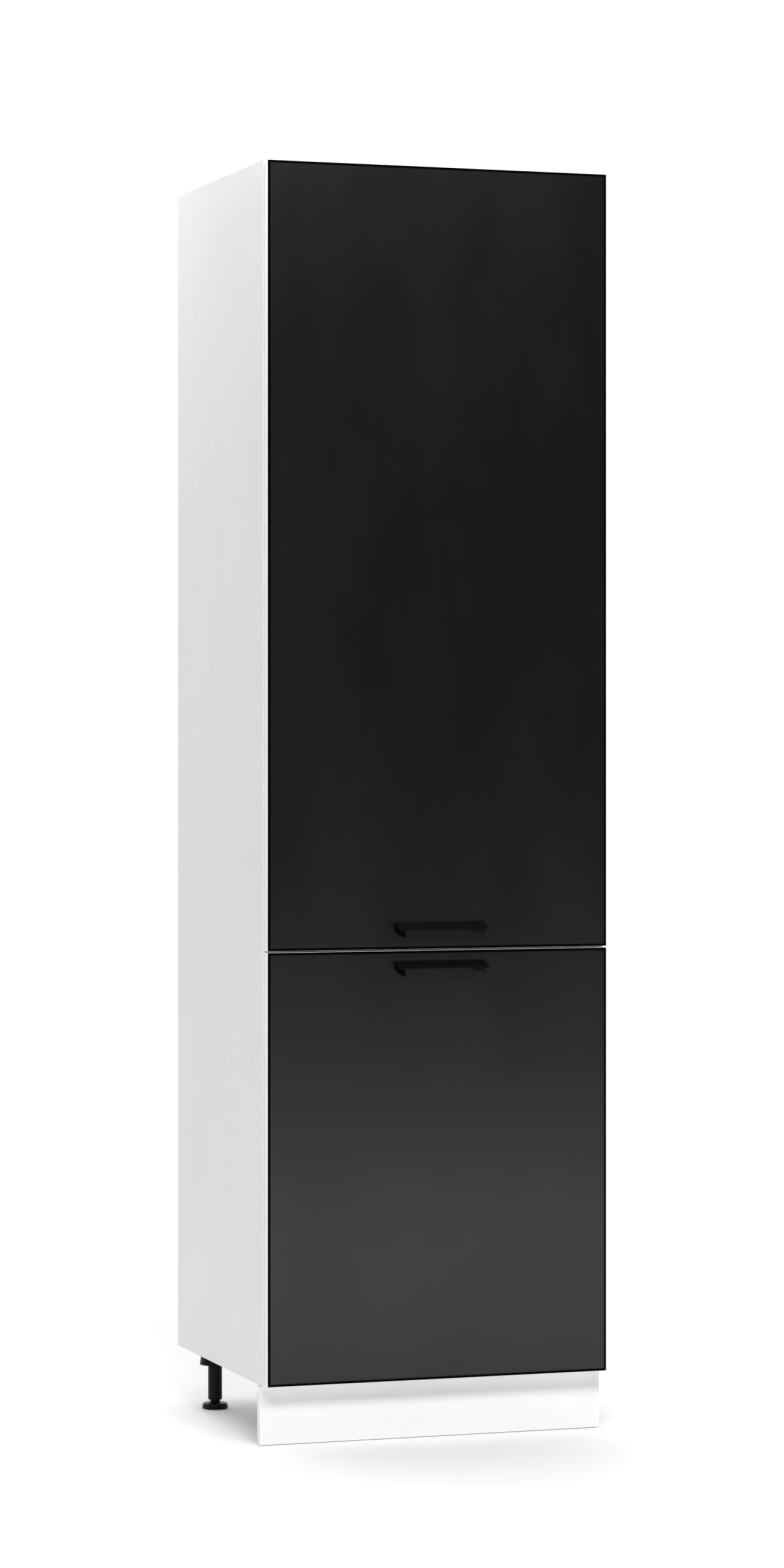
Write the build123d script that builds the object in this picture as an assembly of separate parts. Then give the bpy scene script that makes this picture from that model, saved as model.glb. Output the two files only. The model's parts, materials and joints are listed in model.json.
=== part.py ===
from build123d import *
import math
import os

# Tall storage cabinet on levelling legs, with two doors one above the other.
# Millimetres. The origin is the middle of the footprint on the floor.
# +Z is up, +X is to the right, and the doors face -Y.

# Overall sizes
overall_width = 600.0
overall_height = 2120.0
carcass_depth = 515.0
leg_height = 100.0
lower_door_height = 713.0

# Boards
board = 16.0
door_board = 17.0
door_facing = 1.0
facing_edge_round = 0.8
back_board = 3.0
back_inset = 10.0
groove_depth = 6.0
groove_play = 0.4

# Gaps
door_gap = 2.5
door_reveal = 2.0
door_split = 3.0
shelf_side_play = 1.0
shelf_setback = 20.0
shelf_back_play = 2.0
screw_play = 0.25

# Shelves and their pins
upper_shelf_count = 3
lower_shelf_count = 1
pin_radius = 2.5
pin_seat = 8.0
pin_reach = 8.0
pin_hole_spare = 1.0
pin_row_front = 37.0
pin_row_back = 80.0
pin_pitch = 32.0
pin_holes_each_way = 2

# Strip that joins the two back boards
strip_flange = 1.0
strip_web = 1.2
strip_height = 20.0
strip_play = 0.1

# Cam fittings and dowels
cam_radius = 7.5
cam_depth = 12.5
cam_bore_spare = 0.2
cam_from_end = 34.0
cam_slot_radius = 3.8
cam_cross_width = 1.2
cam_cross_length = 9.0
cam_cross_depth = 2.0
cam_bolt_radius = 3.0
cam_bolt_bore_radius = 4.0
cam_bolt_head_radius = 3.5
cam_bolt_head_length = 3.0
cam_bolt_neck_radius = 1.8
cam_bolt_neck_length = 4.0
cam_bolt_thread_radius = 2.5
cam_bolt_thread_length = 11.0
cam_front = 120.0
cam_back = 150.0
dowel_radius = 4.0
dowel_in_side = 10.0
dowel_in_panel = 20.0
dowel_from_cam = 40.0

# Legs
leg_from_side = 42.0
leg_from_front = 64.0
leg_from_back = 89.0
socket_flare = 1.4
socket_screw_room = 8.55
socket_height = 23.0
socket_wall = 2.0
socket_top = 4.0
sleeve_wall = 2.4
leg_play = 0.1
tube_radius = 12.15
tube_wall = 2.5
tube_clear_of_floor = 16.0
nut_rise = 8.0
nut_height = 16.0
foot_radius = 22.0
foot_thickness = 10.5
foot_round = 2.5
foot_chamfer = 0.8
neck_play = 1.15
neck_height = 6.5
stem_radius = 5.0
stem_height = 70.0
thread_play = 0.06
socket_screws_each = 3

# Plinth and its clips
plinth_setback = 18.0
plinth_board = 16.0
plinth_top_gap = 2.0
plinth_floor_gap = 1.0
clip_height = 20.0
clip_centre_z = 50.0
clip_wall = 2.8
clip_play = 0.05
clip_mouth = 17.0
clip_neck = 14.0
clip_plate_width = 44.0
clip_plate_height = 28.0
clip_plate_thickness = 3.0
clip_screw_spread = 32.0

# Wall brackets
bracket_spread = 400.0
bracket_width = 30.0
bracket_leg = 30.0
bracket_drop = 42.0
bracket_steel = 2.0
bracket_hole_drop = 27.0
bracket_screw_from_back = 18.0
wall_screw_hole_radius = 3.0

# Small screws: shank radius, depth in the wood, head radius, head height
wood_screw_radius = 1.75
wood_screw_depth = 12.0
wood_screw_head_radius = 3.5
wood_screw_head = 1.2

# Hinges: a cup in the door, with an upright pin, and a cranked arm on the side board
hinge_from_door_end = 100.0
cup_bore_radius = 17.5
cup_play = 0.05
cup_wall = 0.7
cup_edge_gap = 3.0
cup_depth = 13.6
cup_bore_depth = 13.8
cup_flange = 1.0
cup_flange_width = 16.0
cup_ear_end = 8.0
cup_flange_offset = 6.0
cup_notch_play = 0.9
cup_notch_depth = 7.0
cup_screw_margin = 6.5
cup_screw_offset = 9.5
hinge_pin_radius = 1.25
hinge_pin_end_play = 0.48
hinge_pin_play = 0.05
hinge_pin_inset = 6.5
hinge_pin_depth = 10.5
cheek_play = 0.5
cheek_reach = 2.4
eye_radius = 2.3
nose_half = 3.5
nose_thickness = 3.0
arm_over_door = 1.1
arm_width = 7.0
arm_half_height = 6.0
arm_reach = 58.0
arm_screw_from_front = 50.0
arm_screw_radius = 2.0
arm_screw_head_radius = 4.0
arm_screw_head = 2.0
plate_start = 22.0
plate_end = 62.0
plate_half_height = 8.0
plate_wing_half_width = 7.0
plate_wing_half_height = 24.0
plate_screw_from_front = 37.0
plate_screw_spread = 32.0
plate_screw_radius = 2.5
plate_screw_depth = 11.0
plate_screw_head_radius = 4.2
plate_screw_head = 1.8

# Door bumpers
bumper_radius = 4.0
bumper_thickness = 1.6
bumper_from_end = 30.0
bumper_from_edge = 6.0

# Handles: a sloping grip over two splayed end plates
handle_length = 158.5
handle_reach = 28.0
handle_drop = 12.8
handle_lip = 1.6
handle_sheet = 2.4
handle_splay = 9.5
handle_end_drop = 24.3
handle_end_root = 8.0
handle_end_sheet = 2.0
handle_belly_out = 0.42
handle_belly_down = 0.81
handle_boss_spacing = 128.0
handle_boss_radius = 4.5
handle_boss_drop = 10.0
handle_boss_length = 14.0
handle_thread_depth = 12.0
upper_handle_above_split = 46.4
lower_handle_below_split = 17.7
handle_screw_radius = 2.0
handle_screw_grip = 10.0
handle_screw_head_radius = 4.0
handle_screw_head = 2.2

# Sizes that follow from those above
sleeve_radius = tube_radius + leg_play + sleeve_wall
socket_inner = sleeve_radius + socket_screw_room
socket_waist = socket_inner + socket_wall
socket_radius = socket_waist + socket_flare
socket_screw_circle = (sleeve_radius + socket_inner) / 2
neck_radius = tube_radius - tube_wall - neck_play
cup_radius = cup_bore_radius - cup_play
cup_screw_spread = 2 * (cup_bore_radius + cup_screw_margin)
cup_flange_length = cup_screw_spread + 2 * cup_ear_end
cheek_inner = nose_half + cheek_play
cup_notch_half = nose_half + cup_notch_play
arm_offset = hinge_pin_depth + arm_over_door

# Places worked out from the sizes above
half_width = overall_width / 2
inner_x = half_width - board
door_thickness = door_board + door_facing
total_depth = carcass_depth + door_gap + door_thickness + handle_reach
back_y = total_depth / 2
front_y = back_y - carcass_depth
door_back_y = front_y - door_gap
facing_back_y = door_back_y - door_board
door_front_y = facing_back_y - door_facing
back_board_rear_y = back_y - back_inset
back_board_front_y = back_board_rear_y - back_board
carcass_bottom = leg_height
carcass_top = overall_height
bay_bottom = carcass_bottom + board
bay_top = carcass_top - board
lower_door_bottom = carcass_bottom + door_reveal
lower_door_top = lower_door_bottom + lower_door_height
upper_door_bottom = lower_door_top + door_split
upper_door_top = carcass_top - door_reveal
split_z = (lower_door_top + upper_door_bottom) / 2
middle_bottom = split_z - board / 2
middle_top = split_z + board / 2
door_edge_x = half_width - door_reveal
pin_x = door_edge_x - hinge_pin_inset
pin_y = door_back_y - hinge_pin_depth
cup_x = door_edge_x - cup_edge_gap - cup_bore_radius
pin_far_side = pin_x + hinge_pin_radius - cup_x
hinge_pin_half = math.sqrt(cup_radius**2 - pin_far_side**2) - hinge_pin_end_play
arm_right = pin_x - arm_offset
arm_left = arm_right - arm_width
leg_x = half_width - leg_from_side
leg_ys = {"front": front_y + leg_from_front, "rear": back_y - leg_from_back}
sides = {"left": -1, "right": 1}
socket_bottom = carcass_bottom - socket_height
tube_top = carcass_bottom - socket_top
plinth_front_y = front_y + plinth_setback
plinth_back_y = plinth_front_y + plinth_board


def slab(x0, x1, y0, y1, z0, z1):
    """A block between two corners."""
    size = Box(abs(x1 - x0), abs(y1 - y0), abs(z1 - z0))
    return Pos((x0 + x1) / 2, (y0 + y1) / 2, (z0 + z1) / 2) * size


def rod_x(radius, x0, x1, y, z):
    """A round bar along X."""
    return Pos((x0 + x1) / 2, y, z) * Rot(0, 90, 0) * Cylinder(radius, abs(x1 - x0))


def rod_y(radius, y0, y1, x, z):
    """A round bar along Y."""
    return Pos(x, (y0 + y1) / 2, z) * Rot(90, 0, 0) * Cylinder(radius, abs(y1 - y0))


def rod_z(radius, z0, z1, x, y):
    """A round bar along Z."""
    return Pos(x, y, (z0 + z1) / 2) * Cylinder(radius, abs(z1 - z0))


def save(name, pieces):
    """Writes one node, from one solid or a group of separate ones."""
    solids = [solid for piece in pieces for solid in piece.solids()]
    export_step(solids[0] if len(solids) == 1 else Compound(solids), f"parts/{name}.step")


def evenly(low, high, count):
    """Heights that divide a bay into equal spaces."""
    return [low + (high - low) * (i + 1) / (count + 1) for i in range(count)]


# Shelf and hinge heights
upper_shelf_zs = evenly(middle_top, bay_top, upper_shelf_count)
lower_shelf_zs = evenly(bay_bottom, middle_bottom, lower_shelf_count)
shelf_zs = upper_shelf_zs + lower_shelf_zs
upper_hinge_zs = [
    upper_door_bottom + hinge_from_door_end,
    *[(a + b) / 2 for a, b in zip(upper_shelf_zs, upper_shelf_zs[1:])],
    upper_door_top - hinge_from_door_end,
]
lower_hinge_zs = [lower_door_bottom + hinge_from_door_end, lower_door_top - hinge_from_door_end]
hinge_zs = lower_hinge_zs + upper_hinge_zs

# Fixed boards between the sides, by the height of their undersides
fixed_bottoms = {"bottom": carcass_bottom, "middle": middle_bottom, "top": bay_top}
cam_ys = [front_y + cam_front, back_y - cam_back]
dowel_ys = [front_y + cam_front + dowel_from_cam, back_y - cam_back - dowel_from_cam]
pin_row_ys = [front_y + pin_row_front, back_y - pin_row_back]


def shelf_pin_z(shelf_z):
    """Height of the pins under a shelf whose middle is at shelf_z."""
    return shelf_z - board / 2 - pin_radius


def side_board(side):
    """An upright side with its back groove, shelf-pin holes and fitting bores."""
    inner = side * inner_x
    panel = slab(inner, side * half_width, front_y, back_y, carcass_bottom, carcass_top)
    groove_front = back_board_front_y - groove_play
    groove_end = inner + side * groove_depth
    cuts = [slab(inner, groove_end, groove_front, back_board_rear_y, carcass_bottom, carcass_top)]
    hole_end = inner + side * (pin_seat + pin_hole_spare)
    for shelf_z in shelf_zs:
        for step in range(-pin_holes_each_way, pin_holes_each_way + 1):
            z = shelf_pin_z(shelf_z) + step * pin_pitch
            cuts += [rod_x(pin_radius, inner, hole_end, y, z) for y in pin_row_ys]
    for bottom in fixed_bottoms.values():
        z = bottom + board / 2
        thread_end = inner + side * cam_bolt_thread_length
        dowel_end = inner + side * dowel_in_side
        cuts += [rod_x(cam_bolt_thread_radius, inner, thread_end, y, z) for y in cam_ys]
        cuts += [rod_x(dowel_radius, inner, dowel_end, y, z) for y in dowel_ys]
    if side > 0:
        y = front_y + plate_screw_from_front
        for hinge_z in hinge_zs:
            for up in (-1, 1):
                z = hinge_z + up * plate_screw_spread / 2
                cuts.append(rod_x(plate_screw_radius, inner, inner + plate_screw_depth, y, z))
    return panel - cuts


def fixed_board(name):
    """A board fixed between the sides, bored for cams, bolts, dowels and what screws to it."""
    bottom = fixed_bottoms[name]
    rear = back_board_front_y - strip_flange - strip_play if name == "middle" else back_y
    panel = slab(-inner_x, inner_x, front_y, rear, bottom, bottom + board)
    cuts = []
    for side in (-1, 1):
        end = side * inner_x
        cam_x = end - side * cam_from_end
        for y in cam_ys:
            cuts.append(rod_z(cam_radius, bottom, bottom + cam_depth + cam_bore_spare, cam_x, y))
            cuts.append(rod_x(cam_bolt_bore_radius, cam_x, end, y, bottom + board / 2))
        for y in dowel_ys:
            dowel_end = end - side * dowel_in_panel
            cuts.append(rod_x(dowel_radius, dowel_end, end, y, bottom + board / 2))
    groove_front = back_board_front_y - groove_play
    screws = []
    if name == "bottom":
        low = bottom + board - groove_depth
        cuts.append(slab(-inner_x, inner_x, groove_front, back_board_rear_y, low, bottom + board))
        screws = socket_screw_places()
    if name == "top":
        high = bottom + groove_depth
        cuts.append(slab(-inner_x, inner_x, groove_front, back_board_rear_y, bottom, high))
        screws = bracket_screw_places()
    cuts += [rod_z(wood_screw_radius, bottom, bottom + wood_screw_depth, x, y) for x, y in screws]
    return panel - cuts


def back_panel(low, high):
    """A thin back board that slides in the grooves, with the wall-screw holes near its top."""
    reach = inner_x + groove_depth - groove_play
    panel = slab(-reach, reach, back_board_front_y, back_board_rear_y, low, high)
    z = bay_top - bracket_hole_drop
    if low < z < high:
        for side in (-1, 1):
            x = side * bracket_spread / 2
            panel -= rod_y(wall_screw_hole_radius, back_board_front_y, back_board_rear_y, x, z)
    return panel


def joint_strip():
    """An H-shaped strip that takes the meeting edges of the two back boards."""
    reach = inner_x - shelf_side_play
    front = back_board_front_y - strip_play - strip_flange
    rear = back_board_rear_y + strip_play + strip_flange
    low = split_z - strip_height / 2
    high = split_z + strip_height / 2
    strip = slab(-reach, reach, front, rear, low, high)
    slot_front = front + strip_flange
    slot_rear = rear - strip_flange
    lower_slot = slab(-reach, reach, slot_front, slot_rear, low, split_z - strip_web / 2)
    upper_slot = slab(-reach, reach, slot_front, slot_rear, split_z + strip_web / 2, high)
    return strip - [lower_slot, upper_slot]


def shelf(z):
    """A loose shelf whose middle is at z."""
    reach = inner_x - shelf_side_play
    front = front_y + shelf_setback
    rear = back_board_front_y - shelf_back_play
    return slab(-reach, reach, front, rear, z - board / 2, z + board / 2)


def shelf_pins():
    """Four pins under each shelf."""
    pins = []
    for shelf_z in shelf_zs:
        for side in (-1, 1):
            for y in pin_row_ys:
                x0 = side * (inner_x + pin_seat)
                x1 = side * (inner_x - pin_reach)
                pins.append(rod_x(pin_radius, x0, x1, y, shelf_pin_z(shelf_z)))
    return pins


def cam_places():
    """Every cam: its board's underside, its side, and its place along the depth."""
    return [(bottom, side, y) for bottom in fixed_bottoms.values() for side in (-1, 1) for y in cam_ys]


def cam_lock(bottom, side, y):
    """A round cam with a slot for the bolt's head and a cross for the screwdriver."""
    x = side * (inner_x - cam_from_end)
    cam = rod_z(cam_radius, bottom, bottom + cam_depth, x, y)
    slot = rod_x(cam_slot_radius, x, x + side * cam_radius, y, bottom + board / 2)
    half = cam_cross_length / 2
    thin = cam_cross_width / 2
    deep = bottom + cam_cross_depth
    cross = [slab(x - half, x + half, y - thin, y + thin, bottom, deep)]
    cross.append(slab(x - thin, x + thin, y - half, y + half, bottom, deep))
    return cam - [slot, *cross]


def cam_bolt(bottom, side, y):
    """A bolt screwed into the side, with a neck and head that the cam pulls on."""
    z = bottom + board / 2
    end = side * inner_x
    head_end = side * (inner_x - cam_from_end + cam_bolt_head_length / 2)
    head_start = head_end + side * cam_bolt_head_length
    neck_start = head_start + side * cam_bolt_neck_length
    bolt = rod_x(cam_bolt_thread_radius, end, end + side * cam_bolt_thread_length, y, z)
    bolt += rod_x(cam_bolt_radius, neck_start, end, y, z)
    bolt += rod_x(cam_bolt_neck_radius, head_start, neck_start, y, z)
    return bolt + rod_x(cam_bolt_head_radius, head_end, head_start, y, z)


def dowels():
    """Wooden dowels between the fixed boards and the sides."""
    pegs = []
    for bottom in fixed_bottoms.values():
        for side in (-1, 1):
            for y in dowel_ys:
                x0 = side * (inner_x - dowel_in_panel)
                x1 = side * (inner_x + dowel_in_side)
                pegs.append(rod_x(dowel_radius, x0, x1, y, bottom + board / 2))
    return pegs


def leg_places():
    """Every leg's name with its side and axis."""
    corners = [(end, y, name, side) for end, y in leg_ys.items() for name, side in sides.items()]
    return {f"{end}_{name}": (side * leg_x, y) for end, y, name, side in corners}


def socket_screw_places():
    """Screws that hold each leg socket to the bottom board."""
    places = []
    for x, y in leg_places().values():
        for i in range(socket_screws_each):
            turn = math.radians(90 + 360 * i / socket_screws_each)
            along = socket_screw_circle * math.cos(turn)
            across = socket_screw_circle * math.sin(turn)
            places.append((x + along, y + across))
    return places


def leg_socket(x, y):
    """A waisted cup under the bottom board, with a sleeve for the leg tube."""
    half = socket_height / 2
    with BuildSketch(Plane.XZ) as section:
        with BuildLine():
            Line((0, -half), (socket_radius, -half))
            ThreePointArc((socket_radius, -half), (socket_waist, 0), (socket_radius, half))
            Line((socket_radius, half), (0, half))
            Line((0, half), (0, -half))
        make_face()
    spool = revolve(section.sketch, Axis.Z)
    socket = Pos(x, y, carcass_bottom - half) * spool
    top = carcass_bottom - socket_top
    hollow = rod_z(socket_inner, socket_bottom, top, x, y)
    sleeve = rod_z(sleeve_radius, socket_bottom, top, x, y)
    bore = rod_z(tube_radius + leg_play, socket_bottom, top, x, y)
    socket = socket - hollow + sleeve - bore
    near = [place for place in socket_screw_places() if math.dist(place, (x, y)) < socket_radius]
    return socket - [rod_z(wood_screw_radius, top, carcass_bottom, *place) for place in near]


def leg_tube(x, y):
    """A hollow leg with a threaded nut inside for the foot's stem."""
    tube = rod_z(tube_radius, tube_clear_of_floor, tube_top, x, y)
    tube -= rod_z(tube_radius - tube_wall, tube_clear_of_floor, tube_top, x, y)
    nut_low = tube_clear_of_floor + nut_rise
    nut = rod_z(tube_radius - tube_wall, nut_low, nut_low + nut_height, x, y)
    return tube + (nut - rod_z(stem_radius + thread_play, nut_low, nut_low + nut_height, x, y))


def foot(x, y):
    """A round levelling foot with a neck and a threaded stem."""
    pad = Pos(x, y, foot_thickness / 2) * Cylinder(foot_radius, foot_thickness)
    pad = fillet(pad.edges().group_by(Axis.Z)[-1], foot_round)
    pad = chamfer(pad.edges().group_by(Axis.Z)[0], foot_chamfer)
    neck_top = foot_thickness + neck_height
    neck = rod_z(neck_radius, foot_thickness, neck_top, x, y)
    return pad + neck + rod_z(stem_radius, neck_top, stem_height, x, y)


def upward_screw(x, y, seat_z, wood_z):
    """A screw with its head under seat_z, driven upwards past wood_z."""
    head = rod_z(wood_screw_head_radius, seat_z - wood_screw_head, seat_z, x, y)
    return head + rod_z(wood_screw_radius, seat_z, wood_z + wood_screw_depth, x, y)


def plinth():
    """The board under the doors, flush with the sides."""
    low = plinth_floor_gap
    high = carcass_bottom - plinth_top_gap
    tip = plinth_back_y - wood_screw_depth
    panel = slab(-half_width, half_width, plinth_front_y, plinth_back_y, low, high)
    return panel - [rod_y(wood_screw_radius, tip, plinth_back_y, x, clip_centre_z) for x in clip_screw_xs()]


def clip_screw_xs():
    """Screws that hold the clips to the plinth."""
    spread = clip_screw_spread / 2
    return [side * leg_x + way * spread for side in (-1, 1) for way in (-1, 1)]


def plinth_clip(x):
    """A clip on the plinth's back that grips a front leg."""
    y = leg_ys["front"]
    low = clip_centre_z - clip_height / 2
    high = clip_centre_z + clip_height / 2
    grip = tube_radius + clip_play
    plate_rear = plinth_back_y + clip_plate_thickness
    half_plate = clip_plate_height / 2
    half_plate_width = clip_plate_width / 2
    clip = rod_z(grip + clip_wall, low, high, x, y)
    clip += slab(x - clip_neck / 2, x + clip_neck / 2, plinth_back_y, y, low, high)
    clip += slab(x - half_plate_width, x + half_plate_width, plinth_back_y, plate_rear,
                 clip_centre_z - half_plate, clip_centre_z + half_plate)
    clip -= rod_z(grip, low, high, x, y)
    clip -= slab(x - clip_mouth / 2, x + clip_mouth / 2, y, y + grip + clip_wall, low, high)
    near = [sx for sx in clip_screw_xs() if sx * x > 0]
    return clip - [rod_y(wood_screw_radius, plinth_back_y, plate_rear, sx, clip_centre_z) for sx in near]


def clip_screws():
    """Screws through the clip plates into the plinth."""
    seat = plinth_back_y + clip_plate_thickness
    tip = plinth_back_y - wood_screw_depth
    screws = []
    for x in clip_screw_xs():
        head = rod_y(wood_screw_head_radius, seat, seat + wood_screw_head, x, clip_centre_z)
        screws.append(head + rod_y(wood_screw_radius, tip, seat, x, clip_centre_z))
    return screws


def bracket_screw_places():
    """Screws that hold the wall brackets to the top board."""
    y = back_board_front_y - bracket_screw_from_back
    return [(side * bracket_spread / 2, y) for side in (-1, 1)]


def wall_bracket(x):
    """An angle under the top board, with a hole for a screw into the wall."""
    half = bracket_width / 2
    rear = back_board_front_y
    flat = slab(x - half, x + half, rear - bracket_leg, rear, bay_top - bracket_steel, bay_top)
    drop = slab(x - half, x + half, rear - bracket_steel, rear, bay_top - bracket_drop, bay_top)
    hole = rod_y(wall_screw_hole_radius, rear - bracket_steel, rear, x, bay_top - bracket_hole_drop)
    screw_hole = rod_z(wood_screw_radius, bay_top - bracket_steel, bay_top, x, bracket_screw_places()[0][1])
    return flat + drop - [hole, screw_hole]


def hinge_arm(z):
    """A cranked arm from the plate on the side board, round into the cup, to the pin's eye."""
    nose_back = pin_y + nose_thickness / 2
    nose_front = pin_y - nose_thickness / 2
    arm = slab(arm_left, arm_right, nose_front, front_y + arm_reach, z - arm_half_height, z + arm_half_height)
    arm += slab(arm_left, pin_x, nose_front, nose_back, z - nose_half, z + nose_half)
    arm += rod_z(eye_radius, z - nose_half, z + nose_half, pin_x, pin_y)
    arm -= rod_z(hinge_pin_radius + hinge_pin_play, z - nose_half, z + nose_half, pin_x, pin_y)
    return arm - rod_x(arm_screw_radius, arm_left, arm_right, front_y + arm_screw_from_front, z)


def hinge_plate(z):
    """A cross-shaped plate between the arm and the side board."""
    start = front_y + plate_start
    end = front_y + plate_end
    wing = front_y + plate_screw_from_front
    plate = slab(arm_right, inner_x, start, end, z - plate_half_height, z + plate_half_height)
    plate += slab(arm_right, inner_x, wing - plate_wing_half_width, wing + plate_wing_half_width,
                  z - plate_wing_half_height, z + plate_wing_half_height)
    plate -= rod_x(arm_screw_radius, arm_right, inner_x, front_y + arm_screw_from_front, z)
    for up in (-1, 1):
        plate -= rod_x(plate_screw_radius, arm_right, inner_x, wing, z + up * plate_screw_spread / 2)
    return plate


def plate_screws(z):
    """Two screws through the plate into the side board."""
    y = front_y + plate_screw_from_front
    screws = []
    for up in (-1, 1):
        at = z + up * plate_screw_spread / 2
        head = rod_x(plate_screw_head_radius, arm_right - plate_screw_head, arm_right, y, at)
        screws.append(head + rod_x(plate_screw_radius, arm_right, inner_x + plate_screw_depth, y, at))
    return screws


def arm_screw(z):
    """The screw that holds the arm to its plate."""
    y = front_y + arm_screw_from_front
    head = rod_x(arm_screw_head_radius, arm_left - arm_screw_head, arm_left, y, z)
    return head + rod_x(arm_screw_radius, arm_left, inner_x, y, z)


def hinge_cup(z):
    """A cup sunk in the door's back, with cheeks for the pin and ears for two screws."""
    inner = cup_radius - cup_wall
    floor_y = door_back_y - cup_depth
    hollow_floor = floor_y + cup_wall
    hollow = rod_y(inner, hollow_floor, door_back_y + cup_flange, cup_x, z)
    body = rod_y(cup_radius, floor_y, door_back_y, cup_x, z)
    ear_centre = cup_x - cup_flange_offset
    half = cup_flange_width / 2
    body += slab(ear_centre - half, ear_centre + half, door_back_y, door_back_y + cup_flange,
                 z - cup_flange_length / 2, z + cup_flange_length / 2)
    cup = body - hollow
    for up in (-1, 1):
        cheek = slab(pin_x - cheek_reach, cup_x + cup_radius, hollow_floor, pin_y + cheek_reach,
                     z + up * cheek_inner, z + up * hinge_pin_half)
        cup += cheek & rod_y(cup_radius, floor_y, door_back_y, cup_x, z)
    cup -= slab(cup_x, cup_x + cup_radius, door_back_y - cup_notch_depth, door_back_y,
                z - cup_notch_half, z + cup_notch_half)
    cup -= rod_z(hinge_pin_radius, z - hinge_pin_half, z + hinge_pin_half, pin_x, pin_y)
    screw_x = cup_x - cup_screw_offset
    for up in (-1, 1):
        at = z + up * cup_screw_spread / 2
        cup -= rod_y(wood_screw_radius, door_back_y, door_back_y + cup_flange, screw_x, at)
    return cup


def hinge_pin(z):
    """The upright pin, held in the cup's cheeks."""
    return rod_z(hinge_pin_radius, z - hinge_pin_half, z + hinge_pin_half, pin_x, pin_y)


def cup_screws(z):
    """Two screws through the cup's ears into the door."""
    x = cup_x - cup_screw_offset
    seat = door_back_y + cup_flange
    screws = []
    for up in (-1, 1):
        at = z + up * cup_screw_spread / 2
        head = rod_y(wood_screw_head_radius, seat, seat + wood_screw_head, x, at)
        screws.append(head + rod_y(wood_screw_radius, door_back_y - wood_screw_depth, seat, x, at))
    return screws


def handle_screw_places(handle_top):
    """The two screws of a handle whose top edge is at handle_top."""
    z = handle_top - handle_boss_drop
    return [(side * handle_boss_spacing / 2, z) for side in (-1, 1)]


def door_core(low, high, hinges, handle_top):
    """The white board of a door, bored for its cups and handle screws."""
    core = slab(-door_edge_x, door_edge_x, facing_back_y, door_back_y, low, high)
    cuts = []
    for z in hinges:
        cuts.append(rod_y(cup_bore_radius, door_back_y - cup_bore_depth, door_back_y, cup_x, z))
        for up in (-1, 1):
            at = z + up * cup_screw_spread / 2
            x = cup_x - cup_screw_offset
            cuts.append(rod_y(wood_screw_radius, door_back_y - wood_screw_depth, door_back_y, x, at))
    hole = handle_screw_radius + screw_play
    cuts += [rod_y(hole, facing_back_y, door_back_y, x, z) for x, z in handle_screw_places(handle_top)]
    return core - cuts


def door_front(low, high, handle_top):
    """The dark facing of a door, with its front edges rounded."""
    facing = slab(-door_edge_x, door_edge_x, door_front_y, facing_back_y, low, high)
    facing = fillet(facing.faces().sort_by(Axis.Y)[0].edges(), facing_edge_round)
    hole = handle_screw_radius + screw_play
    places = handle_screw_places(handle_top)
    return facing - [rod_y(hole, door_front_y, facing_back_y, x, z) for x, z in places]


def handle_plane(top, x, turn):
    """A drawing plane at a handle's top edge: first axis outwards from the door, second up."""
    outwards = Vector(math.sin(turn), -math.cos(turn), 0)
    return Plane(origin=(x, door_front_y, top), x_dir=outwards, z_dir=outwards.cross(Vector(0, 0, 1)))


def handle_grip(top):
    """The sloping grip, thin, from the door's face out and down to its lip."""
    slope_end = handle_reach - handle_lip
    lip_top = -handle_drop + handle_lip
    outline = [
        (0, 0),
        (slope_end, lip_top + handle_lip / 2),
        (handle_reach, lip_top),
        (handle_reach, -handle_drop),
        (slope_end, -handle_drop),
        (0, -handle_sheet),
    ]
    plane = handle_plane(top, handle_length / 2, 0)
    section = plane * make_face(Polyline(*outline, close=True))
    return extrude(section, handle_length)


def handle_end(top, side):
    """A thin end plate that leans inwards from the door to the lip, rounded below."""
    splay = math.atan2(handle_splay, handle_reach)
    stretch = 1 / math.cos(splay)
    reach = handle_reach * stretch
    lip_top = -handle_drop + handle_lip
    belly = (reach * handle_belly_out, -handle_end_drop * handle_belly_down)
    edge = [
        Line((0, 0), (reach, lip_top)),
        Line((reach, lip_top), (reach, -handle_end_drop)),
        ThreePointArc((reach, -handle_end_drop), belly, (0, -handle_end_root)),
        Line((0, -handle_end_root), (0, 0)),
    ]
    plane = handle_plane(top, side * handle_length / 2, -side * splay)
    plate = extrude(plane * make_face(edge), side * handle_end_sheet)
    keep = slab(-handle_length, handle_length, door_front_y - handle_reach, door_front_y,
                top - handle_end_drop, top)
    return plate & keep


def handle(top):
    """One cast handle: grip, end plates and threaded bosses."""
    piece = handle_grip(top) + handle_end(top, -1) + handle_end(top, 1)
    boss_end = door_front_y - handle_boss_length
    thread_end = door_front_y - handle_thread_depth
    places = handle_screw_places(top)
    for x, z in places:
        piece += rod_y(handle_boss_radius, boss_end, door_front_y, x, z)
    return piece - [rod_y(handle_screw_radius, thread_end, door_front_y, x, z) for x, z in places]


def handle_screws(top):
    """Two screws from inside the door into the handle."""
    tip = door_front_y - handle_screw_grip
    screws = []
    for x, z in handle_screw_places(top):
        head = rod_y(handle_screw_head_radius, door_back_y, door_back_y + handle_screw_head, x, z)
        screws.append(head + rod_y(handle_screw_radius, tip, door_back_y, x, z))
    return screws


def bumpers(low, high):
    """Two soft dots on the door's back, where it meets the left side board."""
    x = -door_edge_x + bumper_from_edge
    zs = (low + bumper_from_end, high - bumper_from_end)
    return [rod_y(bumper_radius, door_back_y, door_back_y + bumper_thickness, x, z) for z in zs]


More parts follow.
